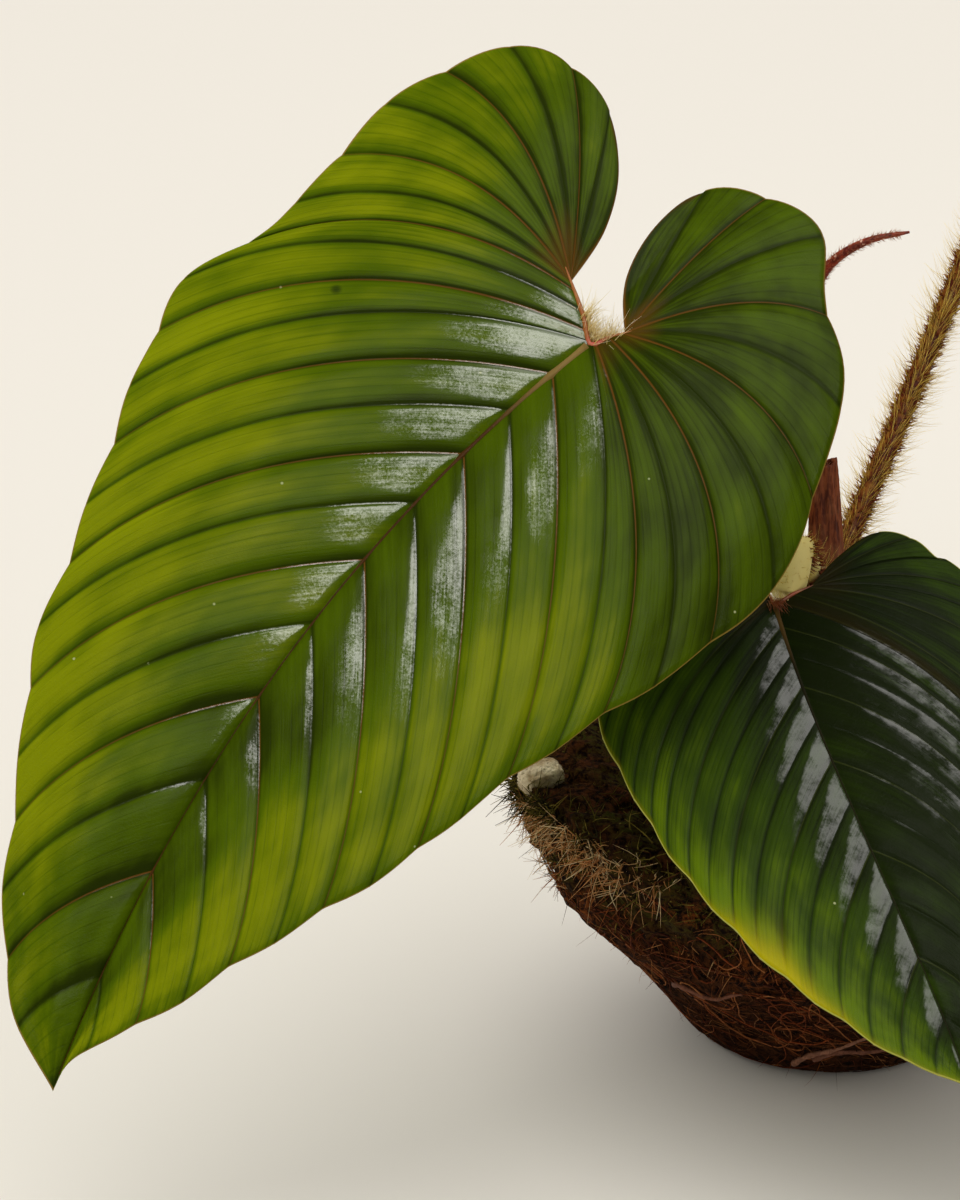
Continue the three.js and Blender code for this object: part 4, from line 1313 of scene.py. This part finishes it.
def tufts(count, height, length, thickness, sag, spread=0.75, clump=0, sector=(0, 360)):
    """Strands that stick out of the ball and sag, in clumps if asked."""
    groups = clump or count
    angle = np.radians(rng.uniform(*sector, groups))
    z = rng.uniform(*height, groups)
    own = rng.integers(0, groups, count) if clump else np.arange(count)
    angle = angle[own] + rng.normal(0, 0.035, count) * bool(clump)
    z = np.clip(z[own] + rng.normal(0, 2.2, count) * bool(clump), 3, 84)
    foot = on_ball(angle, side_radius(z), z, -0.6)
    out = np.stack([np.cos(angle), np.sin(angle), np.zeros(count)], axis=-1)
    lean = rng.normal(0, 0.6, (groups, 3))[own] * bool(clump)
    aim = unit(out * 0.8 + lean + rng.normal(0, spread, (count, 3)))
    return hairs(foot, aim * 0.6, length, thickness, spread * 0.5, sag)


def top_tufts(count, length, thickness):
    """Strands that stand on the top of the ball."""
    angle = rng.uniform(0, math.tau, count)
    radius = 80 * np.sqrt(rng.uniform(0.02, 1, count))
    z = 84 + LUMP_HEIGHT * lumps(angle, radius)
    foot = np.stack([radius * np.cos(angle), radius * np.sin(angle), z], axis=-1)
    aim = unit(np.array((0, 0, 0.5)) + rng.normal(0, 0.7, (count, 3)))
    return hairs(foot, aim, length, thickness, 0.4)


moss = [
    tufts(2300, (50, 84), (2, 4.5), 0.24, 0.05, clump=220),
    top_tufts(1500, (3, 6), 0.24),
    tufts(700, (64, 84), (3, 7), 0.26, 0.1, 0.9, clump=50, sector=(150, 260)),
    tufts(420, (74, 82), (4, 8), 0.32, 0.1, 0.8, clump=14, sector=(182, 206)),
]
root_piece("moss", moss, fibre_paint("moss", "1a1805", "322e0c", "504a16", "8c7c34"))
coir = [
    tufts(700, (44, 72), (4, 10), 0.17, 0.15, clump=45),
    tufts(450, (6, 60), (3, 7), 0.12, 0.2),
]
root_piece("coir", coir, fibre_paint("coir_fibre", "4a200e", "7a3c1a", "a8602c", "c48a54"))
# The straws are real pale fibres, but their colours are painted lighter than their own: painted light,
# for the light that falls on the side of the ball, most on the tuft at its left front shoulder.
straws = [
    tufts(90, (50, 74), (6, 13), 0.3, 0.0, 0.35),
    tufts(480, (71, 80), (4, 11), 0.2, 0.3, 0.8, clump=30, sector=(196, 238)),
]
root_piece("straws", straws, fibre_paint("straw", "b4703c", "d8a468", "f4e0b0"))

# %% [markdown]
# ## The chip
# One pale, crumbly chip of the potting mix sits in the moss. It is a block whose corners are
# worn round and whose faces are pitted.

# %% Chip
CHIP_AT = (-75.5, -18, 85)
CHIP_HALF = (7.5, 5, 4.5)
CHIP_WORN = 0.86
PITS = ((0.09, 1.6), (0.05, 5), (0.03, 12))  # share of the size, and how often
bm = bmesh.new()
bmesh.ops.create_cube(bm, size=2)
bmesh.ops.subdivide_edges(bm, edges=bm.edges[:], cuts=20, use_grid_fill=True)
turn = Matrix.Rotation(0.3, 3, "X") @ Matrix.Rotation(0.5, 3, "Z")
for v in bm.verts:
    worn = v.co.lerp(v.co.normalized() * 1.12, 0.62)
    pits = 1 + sum(size * noise.noise(v.co * often) for size, often in PITS)
    shape = Vector([c * half * pits * CHIP_WORN for c, half in zip(worn, CHIP_HALF)])
    v.co = (turn @ shape + Vector(CHIP_AT)) * MM
close_skin(bm)
across = [v.co.x / MM for v in bm.verts]
print("width of the chip, mm:", round(max(across) - min(across), 1))

# %% Surface of the chip
p = Paint("pale_chip", roughness=0.9, Specular_IOR_Level=0.2)
place = p.place()
cloud = p.noise(place, 180, 4, 0.65)
pits = p.noise(place, 900, 3, 0.6)
color = p.mix(cloud.step(0.35, 0.65), "a8926e", "e6d8b8")
color = p.mix(pits.step(0.42, 0.3) * 0.7, color, "5a4a34")
paint = p.finish(Base_Color=color, Normal=p.bump(pits + cloud, 0.001, 0.8))
make_piece("worn_chip", bm, paint, instead_of="pale_chip")

# %% [markdown]
